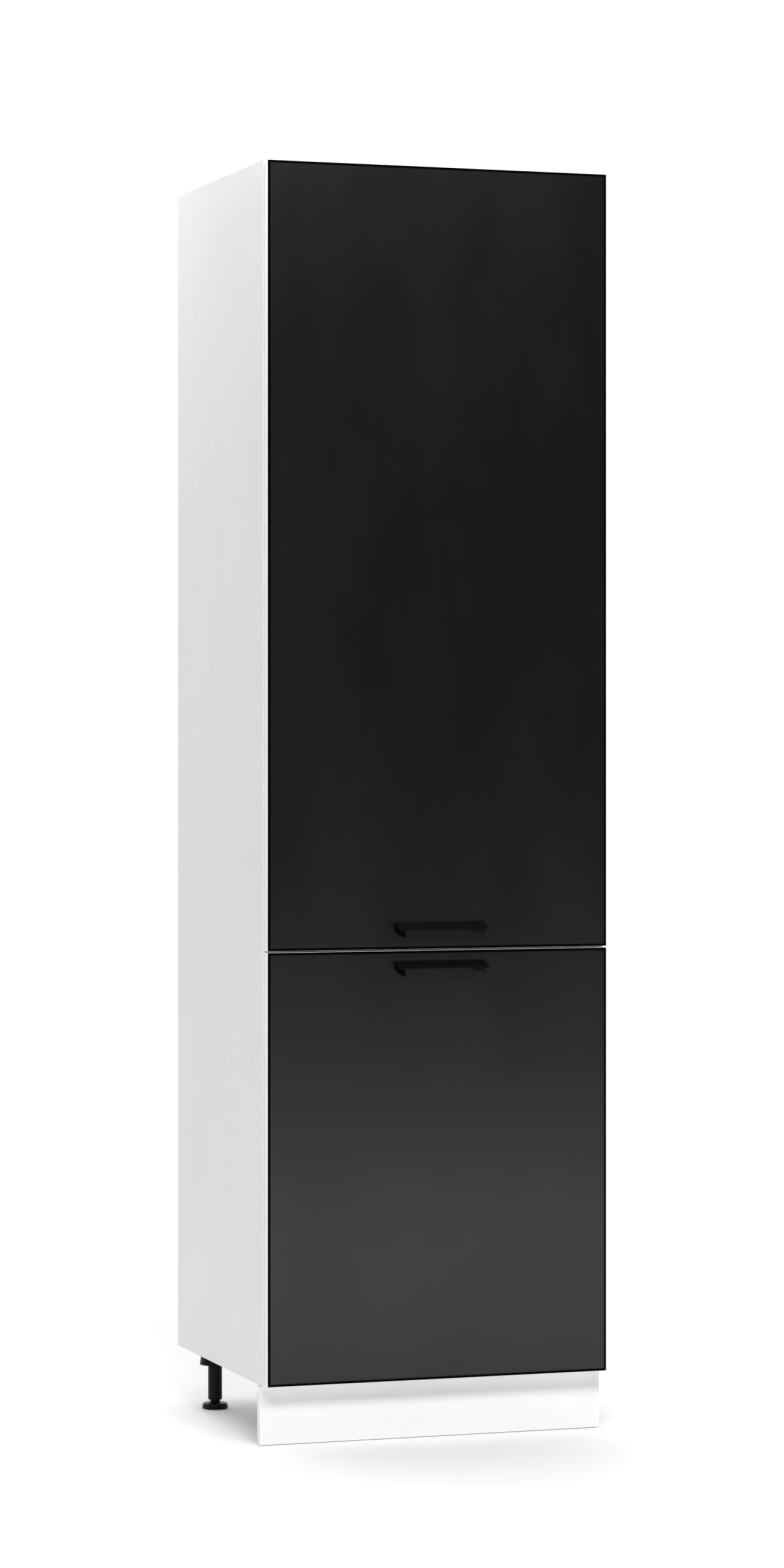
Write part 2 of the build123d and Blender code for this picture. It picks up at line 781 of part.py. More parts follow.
def save_door(name, low, high, hinges, handle_top):
    """Writes every node of one door and of its hinges."""
    save(f"{name}_door_board", [door_core(low, high, hinges, handle_top)])
    save(f"{name}_door_facing", [door_front(low, high, handle_top)])
    save(f"{name}_handle", [handle(handle_top)])
    save(f"{name}_handle_screws", handle_screws(handle_top))
    save(f"{name}_door_bumpers", bumpers(low, high))
    save(f"{name}_hinge_cups", [hinge_cup(z) for z in hinges])
    save(f"{name}_hinge_pins", [hinge_pin(z) for z in hinges])
    save(f"{name}_cup_screws", [screw for z in hinges for screw in cup_screws(z)])
    save(f"{name}_hinge_arms", [hinge_arm(z) for z in hinges])
    save(f"{name}_hinge_plates", [hinge_plate(z) for z in hinges])


os.makedirs("parts", exist_ok=True)
for name, side in sides.items():
    save(f"{name}_side_panel", [side_board(side)])
    save(f"wall_bracket_{name}", [wall_bracket(side * bracket_spread / 2)])
    save(f"plinth_clip_{name}", [plinth_clip(side * leg_x)])
save("bottom_panel", [fixed_board("bottom")])
save("middle_shelf_fixed", [fixed_board("middle")])
save("top_panel", [fixed_board("top")])
lower_back_bottom = bay_bottom - groove_depth
upper_back_top = bay_top + groove_depth
save("lower_back_panel", [back_panel(lower_back_bottom, split_z - strip_web / 2)])
save("upper_back_panel", [back_panel(split_z + strip_web / 2, upper_back_top)])
save("back_joint_strip", [joint_strip()])
for number, shelf_z in enumerate(upper_shelf_zs, 1):
    save(f"upper_shelf_{number}", [shelf(shelf_z)])
for number, shelf_z in enumerate(lower_shelf_zs, 1):
    save(f"lower_shelf_{number}", [shelf(shelf_z)])
save("shelf_pins", shelf_pins())
save("cam_locks", [cam_lock(*place) for place in cam_places()])
save("cam_bolts", [cam_bolt(*place) for place in cam_places()])
save("wooden_dowels", dowels())
for name, (x, y) in leg_places().items():
    save(f"leg_socket_{name}", [leg_socket(x, y)])
    save(f"leg_tube_{name}", [leg_tube(x, y)])
    save(f"foot_{name}", [foot(x, y)])
socket_seat = carcass_bottom - socket_top
save("leg_socket_screws", [upward_screw(x, y, socket_seat, carcass_bottom) for x, y in socket_screw_places()])
save("plinth_board", [plinth()])
save("plinth_clip_screws", clip_screws())
bracket_seat = bay_top - bracket_steel
save("wall_bracket_screws", [upward_screw(x, y, bracket_seat, bay_top) for x, y in bracket_screw_places()])
save("hinge_plate_screws", [screw for z in hinge_zs for screw in plate_screws(z)])
save("hinge_arm_screws", [arm_screw(z) for z in hinge_zs])
save_door("upper", upper_door_bottom, upper_door_top, upper_hinge_zs, split_z + upper_handle_above_split)
save_door("lower", lower_door_bottom, lower_door_top, lower_hinge_zs, split_z - lower_handle_below_split)
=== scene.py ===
"""Finishes a tall cabinet: door fronts, bands, handles, legs, fittings, materials and studio."""
import json
import math

import bmesh
import bpy
import numpy as np
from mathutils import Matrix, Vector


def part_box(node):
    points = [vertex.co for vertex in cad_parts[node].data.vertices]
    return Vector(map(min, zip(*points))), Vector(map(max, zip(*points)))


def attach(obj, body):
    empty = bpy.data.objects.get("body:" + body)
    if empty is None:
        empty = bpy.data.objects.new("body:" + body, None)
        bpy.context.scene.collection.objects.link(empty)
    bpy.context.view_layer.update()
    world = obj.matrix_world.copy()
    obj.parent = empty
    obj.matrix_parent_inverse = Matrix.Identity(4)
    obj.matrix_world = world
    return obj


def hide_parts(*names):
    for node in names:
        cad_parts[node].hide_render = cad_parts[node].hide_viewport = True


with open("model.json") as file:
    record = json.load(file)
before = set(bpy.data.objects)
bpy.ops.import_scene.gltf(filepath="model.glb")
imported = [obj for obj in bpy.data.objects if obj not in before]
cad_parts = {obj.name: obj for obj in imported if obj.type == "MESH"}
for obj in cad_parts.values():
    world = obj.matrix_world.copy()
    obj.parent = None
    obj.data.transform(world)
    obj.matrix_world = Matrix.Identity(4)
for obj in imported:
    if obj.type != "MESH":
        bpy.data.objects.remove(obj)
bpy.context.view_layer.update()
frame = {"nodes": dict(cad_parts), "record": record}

bl_info = {
    "name": "Tall Cabinet Finishes",
    "version": (1, 0, 0),
    "blender": (4, 5, 0),
    "location": "View3D > Sidebar > Cabinet",
    "description": "Makes the fronts, bands, handles, legs and finishes of a tall cabinet",
    "category": "Object",
}

NODES = frame["nodes"]
BODIES = frame["record"]["behaviour"]["bodies"]
BODY_OF = {node: body for body, nodes in BODIES.items() for node in nodes}
DOORS = ("upper", "lower")
CORNERS = ("front_left", "front_right", "rear_left", "rear_right")
SHELVES = sorted(node for node in NODES if node.startswith(("upper_shelf", "lower_shelf")))
FIXED_BOARDS = ("top_panel", "bottom_panel", "middle_shelf_fixed")
SIDE_BOARDS = ("left_side_panel", "right_side_panel")
MM = 0.001
MERGE_DISTANCE = 0.001 * MM
SHARP_ANGLE = math.radians(35)
ROUNDED_ANGLE = math.radians(50)
ROUNDING_STEPS = 3


# ---------------------------------------------------------------- settings

class CabinetSizes(bpy.types.PropertyGroup):
    """Sizes of the finishing pieces."""
    roll_width: bpy.props.FloatProperty(
        name="Roll width", description="How far the front's edge rounding reaches in from its edge",
        default=2.6 * MM, min=0.5 * MM, max=8 * MM, subtype="DISTANCE", unit="LENGTH")
    roll_depth: bpy.props.FloatProperty(
        name="Roll depth", description="How far the front's face drops at its edge",
        default=0.85 * MM, min=0.1 * MM, max=0.95 * MM, subtype="DISTANCE", unit="LENGTH")
    band_thickness: bpy.props.FloatProperty(
        name="Band thickness", description="Thickness of the edge bands on boards and doors",
        default=0.3 * MM, min=0.1 * MM, max=0.5 * MM, subtype="DISTANCE", unit="LENGTH")
    handle_round: bpy.props.FloatProperty(
        name="Handle rounding", description="Radius of the handle's edges",
        default=0.55 * MM, min=0.1 * MM, max=1.0 * MM, subtype="DISTANCE", unit="LENGTH")
    plastic_round: bpy.props.FloatProperty(
        name="Plastic rounding", description="Radius of the moulded edges of legs and feet",
        default=0.6 * MM, min=0.1 * MM, max=1.5 * MM, subtype="DISTANCE", unit="LENGTH")


class CabinetColours(bpy.types.PropertyGroup):
    """Colours of the finishes."""
    white: bpy.props.FloatVectorProperty(
        name="White", description="White faces of the boards",
        default=(0.80, 0.80, 0.795), size=3, min=0, max=1, subtype="COLOR")
    # edge_white also colours the plinth board's faces, a lighter white painted on so the plinth
    # looks more brightly lit.
    edge_white: bpy.props.FloatVectorProperty(
        name="Edge white", description="Bands on the edges of doors and boards",
        default=(0.93, 0.93, 0.925), size=3, min=0, max=1, subtype="COLOR")
    black: bpy.props.FloatVectorProperty(
        name="Front black", description="Matt black fronts of the doors",
        default=(0.0018, 0.0020, 0.0021), size=3, min=0, max=1, subtype="COLOR")
    handle_black: bpy.props.FloatVectorProperty(
        name="Handle black", description="Powder coat of the handles",
        default=(0.0018, 0.0018, 0.0019), size=3, min=0, max=1, subtype="COLOR")
    plastic_black: bpy.props.FloatVectorProperty(
        name="Leg black", description="Moulded plastic of legs, feet and clips",
        default=(0.0025, 0.0025, 0.0025), size=3, min=0, max=1, subtype="COLOR")
    screw_steel: bpy.props.FloatVectorProperty(
        name="Screw steel", description="Bright plated screws",
        default=(0.62, 0.62, 0.63), size=3, min=0, max=1, subtype="COLOR")
    pin_steel: bpy.props.FloatVectorProperty(
        name="Pin steel", description="Bright plated shelf pins",
        default=(0.66, 0.66, 0.66), size=3, min=0, max=1, subtype="COLOR")
    bolt_steel: bpy.props.FloatVectorProperty(
        name="Bolt steel", description="Plated bolts of the cam joints",
        default=(0.6, 0.6, 0.6), size=3, min=0, max=1, subtype="COLOR")
    nickel: bpy.props.FloatVectorProperty(
        name="Nickel", description="Plating of the hinges",
        default=(0.64, 0.62, 0.59), size=3, min=0, max=1, subtype="COLOR")
    zinc: bpy.props.FloatVectorProperty(
        name="Zinc", description="Cam locks and wall brackets",
        default=(0.55, 0.56, 0.57), size=3, min=0, max=1, subtype="COLOR")
    dowel: bpy.props.FloatVectorProperty(
        name="Dowel", description="Beech dowels",
        default=(0.55, 0.36, 0.2), size=3, min=0, max=1, subtype="COLOR")
    bumper: bpy.props.FloatVectorProperty(
        name="Bumper", description="Soft clear dots behind the doors",
        default=(0.72, 0.73, 0.73), size=3, min=0, max=1, subtype="COLOR")
    floor: bpy.props.FloatVectorProperty(
        name="Floor", description="Studio floor",
        default=(0.94, 0.94, 0.94), size=3, min=0, max=1, subtype="COLOR")


def sizes():
    """The sizes that the user may change."""
    return bpy.context.scene.cabinet_sizes


def colours():
    """The colours that the user may change."""
    return bpy.context.scene.cabinet_colours


# ---------------------------------------------------------------- surfaces

def grid_faces(rows, columns, close_rows, close_columns):
    """Quads between neighbouring points of a grid, whose last row or column may join its first."""
    r = np.arange(rows if close_rows else rows - 1)
    c = np.arange(columns if close_columns else columns - 1)
    r, c = [a.ravel() for a in np.meshgrid(r, c, indexing="ij")]
    r2 = (r + 1) % rows
    c2 = (c + 1) % columns
    this, following = r * columns, r2 * columns
    return np.stack([this + c, this + c2, following + c2, following + c], axis=1)


def add_piece(name, shells, body, stands_for=()):
    """One object from closed shells of (points, faces), its doubles merged and faces outwards."""
    points = np.concatenate([np.asarray(p, float).reshape(-1, 3) for p, _ in shells])
    faces = []
    start = 0
    for p, f in shells:
        faces += [[start + int(i) for i in face] for face in f]
        start += len(np.asarray(p).reshape(-1, 3))
    mesh = bpy.data.meshes.new(name)
    mesh.from_pydata(points, [], faces)
    shape = bmesh.new()
    shape.from_mesh(mesh)
    bmesh.ops.remove_doubles(shape, verts=shape.verts, dist=MERGE_DISTANCE)
    bmesh.ops.recalc_face_normals(shape, faces=shape.faces)
    shape.to_mesh(mesh)
    shape.free()
    mesh.polygons.foreach_set("use_smooth", np.ones(len(mesh.polygons), bool))
    mesh.set_sharp_from_angle(angle=SHARP_ANGLE)
    piece = bpy.data.objects.new(name, mesh)
    bpy.context.scene.collection.objects.link(piece)
    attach(piece, body)
    if stands_for:
        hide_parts(*stands_for)
    return piece


def bevel(piece, width):
    """Rounds those edges of a piece that turn by more than ROUNDED_ANGLE."""
    rounding = piece.modifiers.new("rounding", "BEVEL")
    rounding.width = width
    rounding.segments = ROUNDING_STEPS
    rounding.limit_method = "ANGLE"
    rounding.angle_limit = ROUNDED_ANGLE
    rounding.harden_normals = True


def rectangle_loop(x0, x1, z0, z1, radius, steps=6):
    """Points round an upright rectangle with rounded corners.

    Each corner is a quarter circle: its centre plus the radius times (cos a, sin a).
    """
    turn = np.linspace(0, math.pi / 2, steps)
    angles = np.concatenate([turn + quarter * math.pi / 2 for quarter in range(4)])
    centres = np.array([(x1 - radius, z1 - radius), (x0 + radius, z1 - radius),
                        (x0 + radius, z0 + radius), (x1 - radius, z0 + radius)])
    ring = np.stack([np.cos(angles), np.sin(angles)], axis=1)
    return np.repeat(centres, steps, axis=0) + radius * ring


def lathe(profile, centre, axis, count, bumps=None):
    """A profile of (radius, height) turned about an upright or level axis through centre.

    A point is radius * (cos a, sin a) across the axis and height along it. bumps, if given,
    adds to the radius as a function of the angle and the height.
    """
    profile = np.asarray(profile, float)
    angle = np.linspace(0, 2 * math.pi, count, endpoint=False)
    radius = np.repeat(profile[:, :1], count, axis=1)
    height = np.repeat(profile[:, 1:], count, axis=1)
    if bumps is not None:
        radius = radius + bumps(angle[None], height, radius)
    a, b, along = radius * np.cos(angle), radius * np.sin(angle), height
    order = {"Z": (a, b, along), "X": (along, a, b), "Y": (a, along, b)}[axis]
    points = np.stack(order, axis=-1) + np.asarray(centre)
    return points.reshape(-1, 3), grid_faces(len(profile), count, False, True)


def round_corner(before, corner, after, radius, steps=5):
    """Points on the curve that rounds a corner of a profile, tangent to both of its sides.

    It is the quadratic curve (1 - t)^2 start + 2 t (1 - t) corner + t^2 end, and it takes up
    less than half of either side.
    """
    before, corner, after = [np.asarray(p, float) for p in (before, corner, after)]
    a = (before - corner) / np.linalg.norm(before - corner)
    b = (after - corner) / np.linalg.norm(after - corner)
    half = math.acos(np.clip(a @ b, -1, 1)) / 2
    reach = min(radius / math.tan(half), 0.49 * np.linalg.norm(before - corner),
                0.49 * np.linalg.norm(after - corner))
    t = np.linspace(0, 1, steps)[:, None]
    start, end = corner + a * reach, corner + b * reach
    return (1 - t) ** 2 * start + 2 * t * (1 - t) * corner + t**2 * end


def rounded(points, radius, closed=False):
    """A profile with each inner corner replaced by a small curve."""
    points = [np.asarray(p, float) for p in points]
    count = len(points)
    rows = []
    for i in range(count):
        if not closed and i in (0, count - 1):
            rows.append(points[i][None])
        else:
            rows.append(round_corner(points[i - 1], points[i], points[(i + 1) % count], radius))
    return np.concatenate(rows)


def prism(outline, start, end):
    """A closed outline carried straight from one offset to another, with both ends shut."""
    outline = np.asarray(outline, float)
    count = len(outline)
    rows = np.stack([outline + np.asarray(start), outline + np.asarray(end)])
    faces = grid_faces(2, count, False, True).tolist()
    faces.append(list(range(count)))
    faces.append(list(range(count, 2 * count)))
    return rows.reshape(-1, 3), faces


# Shares of the head's radius: its domed top, half the width of the cross's arms, how softly
# their sides fall, and how far out the arms reach.
SCREW_TOP = 0.93
SCREW_ARM = 0.17
SCREW_ARM_SOFT = 0.035
SCREW_ARM_REACH = 0.68
# Shares of the head's height: its rim, and the cross's depth below the rim.
SCREW_RIM = 0.8
SCREW_CROSS = 0.6
# Share of the shank's radius that its tip has.
SCREW_TIP = 0.35


def screw_shell(centre, direction, shank, length, head, head_height, dome, count=40):
    """A cross-headed screw. Its head faces along direction, and the head's seat is at centre.

    Rows run from the head's middle over its dome and rim, under it and down the shank to the tip.
    The head's top is dome * (1 - (r / head)^2) high, less a cross-shaped dip near its middle,
    whose sides fall as 1 / (1 + e^x).
    """
    top = np.linspace(0, head * SCREW_TOP, 13)
    r = np.concatenate([top, [head, head, shank, shank, shank * SCREW_TIP, 0]])
    rise = head_height + dome * (1 - (top / head) ** 2)
    h = np.concatenate([rise, [head_height * SCREW_RIM, 0, 0, -length + shank, -length, -length]])
    angle = np.linspace(0, 2 * math.pi, count, endpoint=False)
    radius = np.repeat(r[:, None], count, axis=1)
    height = np.repeat(h[:, None], count, axis=1)
    arm = np.minimum(np.abs(radius * np.cos(angle)), np.abs(radius * np.sin(angle)))
    fall = 1 / (1 + np.exp((arm - SCREW_ARM * head) / (SCREW_ARM_SOFT * head)))
    inside = fall * (radius < SCREW_ARM_REACH * head)
    inside[len(top):] = 0
    height = height - inside * (head_height * SCREW_CROSS + dome)
    axis = np.asarray(direction, float)
    side = np.array([0.0, 0.0, 1.0]) if abs(axis[2]) < 0.5 else np.array([1.0, 0.0, 0.0])
    other = np.cross(axis, side)
    points = (np.asarray(centre) + radius[..., None] * (np.cos(angle)[:, None] * side
              + np.sin(angle)[:, None] * other) + height[..., None] * axis)
    return points.reshape(-1, 3), grid_faces(len(r), count, False, True)


def solid_boxes(node):
    """Lowest and highest corner of each separate solid of a node, as an array of (n, 2, 3).

    Each point takes the lowest number among its neighbours until nothing changes, so the points
    of one solid end with the same number.
    """
    mesh = NODES[node].data
    shape = bmesh.new()
    shape.from_mesh(mesh)
    bmesh.ops.remove_doubles(shape, verts=shape.verts, dist=MERGE_DISTANCE)
    points = np.array([v.co for v in shape.verts])
    joined = np.arange(len(points))
    edges = np.array([[e.verts[0].index, e.verts[1].index] for e in shape.edges])
    shape.free()
    while True:
        low = np.minimum(joined[edges[:, 0]], joined[edges[:, 1]])
        following = joined.copy()
        np.minimum.at(following, edges[:, 0], low)
        np.minimum.at(following, edges[:, 1], low)
        following = following[following]
        if (following == joined).all():
            break
        joined = following
    groups = [points[joined == key] for key in np.unique(joined)]
    return np.array([[g.min(axis=0), g.max(axis=0)] for g in groups])


# ---------------------------------------------------------------- materials

class Finish:
    """One procedural material and short calls that add its nodes."""

    def __init__(self, name, colour, roughness, metallic=0.0, specular=0.5):
        self.material = bpy.data.materials.new(name)
        self.material.use_nodes = True
        self.tree = self.material.node_tree
        self.shader = next(n for n in self.tree.nodes if n.type == "BSDF_PRINCIPLED")
        self.colour = colour
        self.set("Base Color", (*colour, 1))
        self.set("Roughness", roughness)
        self.set("Metallic", metallic)
        self.set("Specular IOR Level", specular)
        self.place = self.tree.nodes.new("ShaderNodeTexCoord").outputs["Object"]
        self.material.diffuse_color = (*colour, 1)

    def set(self, socket, value):
        """Sets a uniform value on the shader itself."""
        self.shader.inputs[socket].default_value = value

    def link(self, output, socket):
        """Joins an output to one of the shader's inputs."""
        self.tree.links.new(output, self.shader.inputs[socket])

    def math(self, operation, a, b=0.0):
        """A math node on two outputs or numbers."""
        node = self.tree.nodes.new("ShaderNodeMath")
        node.operation = operation
        for socket, value in zip(node.inputs, (a, b)):
            if isinstance(value, (int, float)):
                socket.default_value = value
            else:
                self.tree.links.new(value, socket)
        return node.outputs[0]

    def stretch(self, scale):
        """Object coordinates stretched by a factor along each axis."""
        node = self.tree.nodes.new("ShaderNodeMapping")
        node.inputs["Scale"].default_value = scale
        self.tree.links.new(self.place, node.inputs["Vector"])
        return node.outputs[0]

    def noise(self, scale, detail=2.0, rough=0.5, vector=None):
        """Smooth noise with about scale spots to the metre."""
        node = self.tree.nodes.new("ShaderNodeTexNoise")
        node.inputs["Scale"].default_value = scale
        node.inputs["Detail"].default_value = detail
        node.inputs["Roughness"].default_value = rough
        self.tree.links.new(vector or self.place, node.inputs["Vector"])
        return node.outputs["Fac"]

    def cells(self, scale):
        """Distance to the middle of the nearest of scattered cells."""
        node = self.tree.nodes.new("ShaderNodeTexVoronoi")
        node.inputs["Scale"].default_value = scale
        self.tree.links.new(self.place, node.inputs["Vector"])
        return node.outputs["Distance"]

    def remap(self, value, low, high, to_low, to_high):
        """Maps a value from one range to another, smoothly and clamped."""
        node = self.tree.nodes.new("ShaderNodeMapRange")
        node.interpolation_type = "SMOOTHSTEP"
        for socket, number in zip(node.inputs[1:5], (low, high, to_low, to_high)):
            socket.default_value = number
        self.tree.links.new(value, node.inputs[0])
        return node.outputs[0]

    def mix(self, amount, first, second):
        """One colour into another; each is a colour or an output."""
        node = self.tree.nodes.new("ShaderNodeMix")
        node.data_type = "RGBA"
        self.tree.links.new(amount, node.inputs["Factor"])
        for socket, colour in zip((node.inputs[6], node.inputs[7]), (first, second)):
            if isinstance(colour, (tuple, list)) or hasattr(colour, "r"):
                socket.default_value = (*colour, 1)
            else:
                self.tree.links.new(colour, socket)
        return node.outputs[2]

    def bump(self, height, distance, strength=1.0, over=None):
        """Fine relief of that real height, over another relief if one is given."""
        node = self.tree.nodes.new("ShaderNodeBump")
        node.inputs["Strength"].default_value = strength
        node.inputs["Distance"].default_value = distance
        self.tree.links.new(height, node.inputs["Height"])
        if over is not None:
            self.tree.links.new(over, node.inputs["Normal"])
        return node.outputs[0]

    def near_edge(self, low, high, width, start=0.0):
        """1 at a box's edges, as far as start from them, and 0 at that width from them.

        On a face, one of the three distances to the box's sides is nought; the second smallest
        is the distance to the nearest edge.
        """
        split = self.tree.nodes.new("ShaderNodeSeparateXYZ")
        self.tree.links.new(self.place, split.inputs[0])
        gaps = []
        for axis in range(3):
            from_low = self.math("SUBTRACT", split.outputs[axis], low[axis])
            from_high = self.math("SUBTRACT", high[axis], split.outputs[axis])
            gaps.append(self.math("MINIMUM", from_low, from_high))
        a, b, c = gaps
        small = self.math("MINIMUM", a, b)
        large = self.math("MINIMUM", self.math("MAXIMUM", a, b), c)
        return self.remap(self.math("MAXIMUM", small, large), start, width, 1.0, 0.0)


def shade(colour, factor):
    """A colour made darker or lighter."""
    return tuple(min(1.0, c * factor) for c in colour)


def melamine(name, low, high, colour):
    """Satin white melamine: a pearly grain, faint mottling and scuffed edges."""
    finish = Finish(name, colour, 0.42, specular=0.42)
    mottle = finish.noise(5.0, 3.0, 0.55)
    flecks = finish.remap(finish.noise(900.0, 2.0, 0.6), 0.42, 0.62, 0.0, 1.0)
    tone = finish.mix(finish.remap(mottle, 0.35, 0.65, 0, 1), shade(colour, 0.975), colour)
    tone = finish.mix(finish.math("MULTIPLY", flecks, 0.12), tone, shade(colour, 0.9))
    scuffed = finish.math("MULTIPLY", finish.near_edge(low, high, 1.6 * MM),
                          finish.remap(finish.noise(60.0, 4.0, 0.7), 0.5, 0.72, 0.0, 0.5))
    finish.link(finish.mix(scuffed, tone, shade(colour, 0.72)), "Base Color")
    finish.link(finish.remap(finish.noise(70.0, 3.0, 0.6), 0.3, 0.7, 0.36, 0.5), "Roughness")
    grain = finish.bump(finish.noise(1500.0, 3.0, 0.6), 0.03 * MM, 0.35)
    finish.link(finish.bump(finish.noise(30.0, 2.0), 0.15 * MM, 0.12, over=grain), "Normal")
    return finish.material


def edge_banding(name, colour):
    """Plastic edge band, a little glossier than the faces, with fine milling marks along it."""
    finish = Finish(name, colour, 0.34, specular=0.5)
    tone = finish.remap(finish.noise(24.0, 3.0), 0.35, 0.7, 0.0, 1.0)
    finish.link(finish.mix(tone, colour, shade(colour, 0.965)), "Base Color")
    finish.link(finish.remap(finish.noise(120.0, 2.0), 0.3, 0.7, 0.28, 0.42), "Roughness")
    marks = finish.noise(900.0, 2.0, vector=finish.stretch((1.0, 1.0, 0.06)))
    finish.link(finish.bump(marks, 0.02 * MM, 0.3), "Normal")
    return finish.material


def black_front(name, low, high, colour):
    """Matt black facing: soft-touch grain, faint wiped smudges, rubbed corners, and a painted shade
    rim: a darker band round the edges with no specular, standing in for the rolled edge's shade.
    """
    finish = Finish(name, colour, 0.3, specular=0.5)
    cloud = finish.remap(finish.noise(2.2, 4.0, 0.55), 0.3, 0.7, 0.0, 1.0)
    tone = finish.mix(cloud, shade(colour, 0.9), shade(colour, 1.15))
    # Painted shade: the rim darkens the front fully within 1.8 mm of its edges, fading out by 6.5
    # mm, and below it also turns the specular down to nothing there.
    rim = finish.near_edge(low, high, 6.5 * MM, 1.8 * MM)
    tone = finish.mix(rim, tone, shade(colour, 0.25))
    rub = finish.math("MULTIPLY", finish.near_edge(low, high, 0.5 * MM),
                      finish.remap(finish.noise(45.0, 4.0, 0.7), 0.55, 0.75, 0.0, 0.3))
    finish.link(finish.mix(rub, tone, (0.02, 0.02, 0.02)), "Base Color")
    finish.link(finish.remap(rim, 0.0, 1.0, 0.5, 0.0), "Specular IOR Level")
    wipes = finish.noise(7.0, 5.0, 0.62, vector=finish.stretch((1.0, 1.0, 0.35)))
    finish.link(finish.remap(wipes, 0.3, 0.72, 0.285, 0.325), "Roughness")
    grain = finish.bump(finish.noise(2200.0, 3.0, 0.65), 0.02 * MM, 0.4)
    finish.link(finish.bump(finish.noise(9.0, 1.0), 0.25 * MM, 0.06, over=grain), "Normal")
    return finish.material


def powder_coat(name, low, high, colour):
    """Matt black powder coat on cast metal: a fine dimpled skin, worn a little at the lip."""
    finish = Finish(name, colour, 0.48, specular=0.08)
    spots = finish.cells(1400.0)
    tone = finish.remap(finish.noise(160.0, 3.0), 0.35, 0.7, 0.0, 1.0)
    tone = finish.mix(tone, colour, shade(colour, 1.5))
    worn = finish.math("MULTIPLY", finish.near_edge(low, high, 1.2 * MM),
                       finish.remap(finish.noise(110.0, 4.0, 0.7), 0.52, 0.7, 0.0, 0.6))
    finish.link(finish.mix(worn, tone, (0.035, 0.034, 0.033)), "Base Color")
    finish.link(finish.remap(finish.noise(260.0, 2.0), 0.3, 0.7, 0.4, 0.56), "Roughness")
    finish.link(finish.bump(spots, 0.04 * MM, 0.5), "Normal")
    return finish.material


def moulded_plastic(name, low, high, colour):
    """Black moulded plastic: a spark-eroded grain, flow marks and rubbed corners."""
    finish = Finish(name, colour, 0.42, specular=0.16)
    flow = finish.remap(finish.noise(40.0, 4.0, 0.6, finish.stretch((1, 1, 0.4))), 0.35, 0.7, 0, 1)
    rub = finish.math("MULTIPLY", finish.near_edge(low, high, 2.0 * MM),
                      finish.remap(finish.noise(150.0, 3.0), 0.5, 0.7, 0.0, 0.5))
    tone = finish.mix(flow, colour, shade(colour, 1.8))
    finish.link(finish.mix(rub, tone, (0.03, 0.03, 0.03)), "Base Color")
    finish.link(finish.remap(finish.noise(220.0, 3.0), 0.3, 0.7, 0.34, 0.5), "Roughness")
    finish.link(finish.bump(finish.noise(1800.0, 2.0), 0.03 * MM, 0.5), "Normal")
    return finish.material


DRAWN_UPRIGHT = (1.0, 1.0, 0.08)
DRAWN_ACROSS = (0.1, 1.0, 1.0)


def plated_steel(name, colour, low, high, roughness, drawn=DRAWN_UPRIGHT):
    """Plated steel: fine drawing marks along its short stretch, cloudy plating and dull spots."""
    finish = Finish(name, colour, roughness, metallic=1.0)
    cloud = finish.remap(finish.noise(90.0, 4.0, 0.6), 0.3, 0.75, 0.0, 1.0)
    tone = finish.mix(cloud, colour, shade(colour, 0.82))
    handled = finish.math("MULTIPLY", finish.near_edge(low, high, 1.0 * MM),
                          finish.remap(finish.noise(200.0, 3.0), 0.45, 0.7, 0.0, 0.4))
    finish.link(finish.mix(handled, tone, shade(colour, 1.2)), "Base Color")
    streaks = finish.noise(1400.0, 2.0, vector=finish.stretch(drawn))
    finish.link(finish.remap(streaks, 0.3, 0.7, roughness - 0.07, roughness + 0.12), "Roughness")
    finish.link(finish.bump(streaks, 0.01 * MM, 0.4), "Normal")
    return finish.material


def zinc_plate(name, colour):
    """Zinc: grey spangles like frost on the metal."""
    finish = Finish(name, colour, 0.38, metallic=1.0)
    spangle = finish.cells(260.0)
    finish.link(finish.mix(spangle, shade(colour, 0.85), shade(colour, 1.1)), "Base Color")
    finish.link(finish.remap(finish.noise(320.0, 3.0), 0.3, 0.7, 0.3, 0.5), "Roughness")
    finish.link(finish.bump(spangle, 0.02 * MM, 0.4), "Normal")
    return finish.material


def painted_fibreboard(name, colour):
    """White painted fibreboard: a felted fibre print under thin paint, with a few specks."""
    finish = Finish(name, colour, 0.5, specular=0.35)
    fibres = finish.noise(260.0, 5.0, 0.7, vector=finish.stretch((1.0, 1.0, 0.5)))
    tone = finish.mix(finish.remap(fibres, 0.35, 0.7, 0, 1), colour, shade(colour, 0.955))
    specks = finish.remap(finish.cells(75.0), 0.03, 0.06, 0.5, 0.0)
    finish.link(finish.mix(specks, tone, shade(colour, 0.8)), "Base Color")
    finish.link(finish.remap(finish.noise(90.0, 3.0), 0.3, 0.7, 0.44, 0.6), "Roughness")
    finish.link(finish.bump(fibres, 0.06 * MM, 0.35), "Normal")
    return finish.material


def beech(name, colour):
    """Beech dowel: grain along the peg with short dark flecks."""
    finish = Finish(name, colour, 0.6, specular=0.3)
    grain = finish.noise(420.0, 4.0, 0.6, vector=finish.stretch((0.12, 1.0, 1.0)))
    short = finish.noise(900.0, 2.0, vector=finish.stretch((0.25, 1, 1)))
    flecks = finish.remap(short, 0.6, 0.7, 0, 0.6)
    tone = finish.mix(finish.remap(grain, 0.3, 0.7, 0, 1), shade(colour, 0.85), shade(colour, 1.1))
    finish.link(finish.mix(flecks, tone, shade(colour, 0.55)), "Base Color")
    finish.link(finish.remap(grain, 0.3, 0.7, 0.55, 0.7), "Roughness")
    finish.link(finish.bump(grain, 0.08 * MM, 0.4), "Normal")
    return finish.material


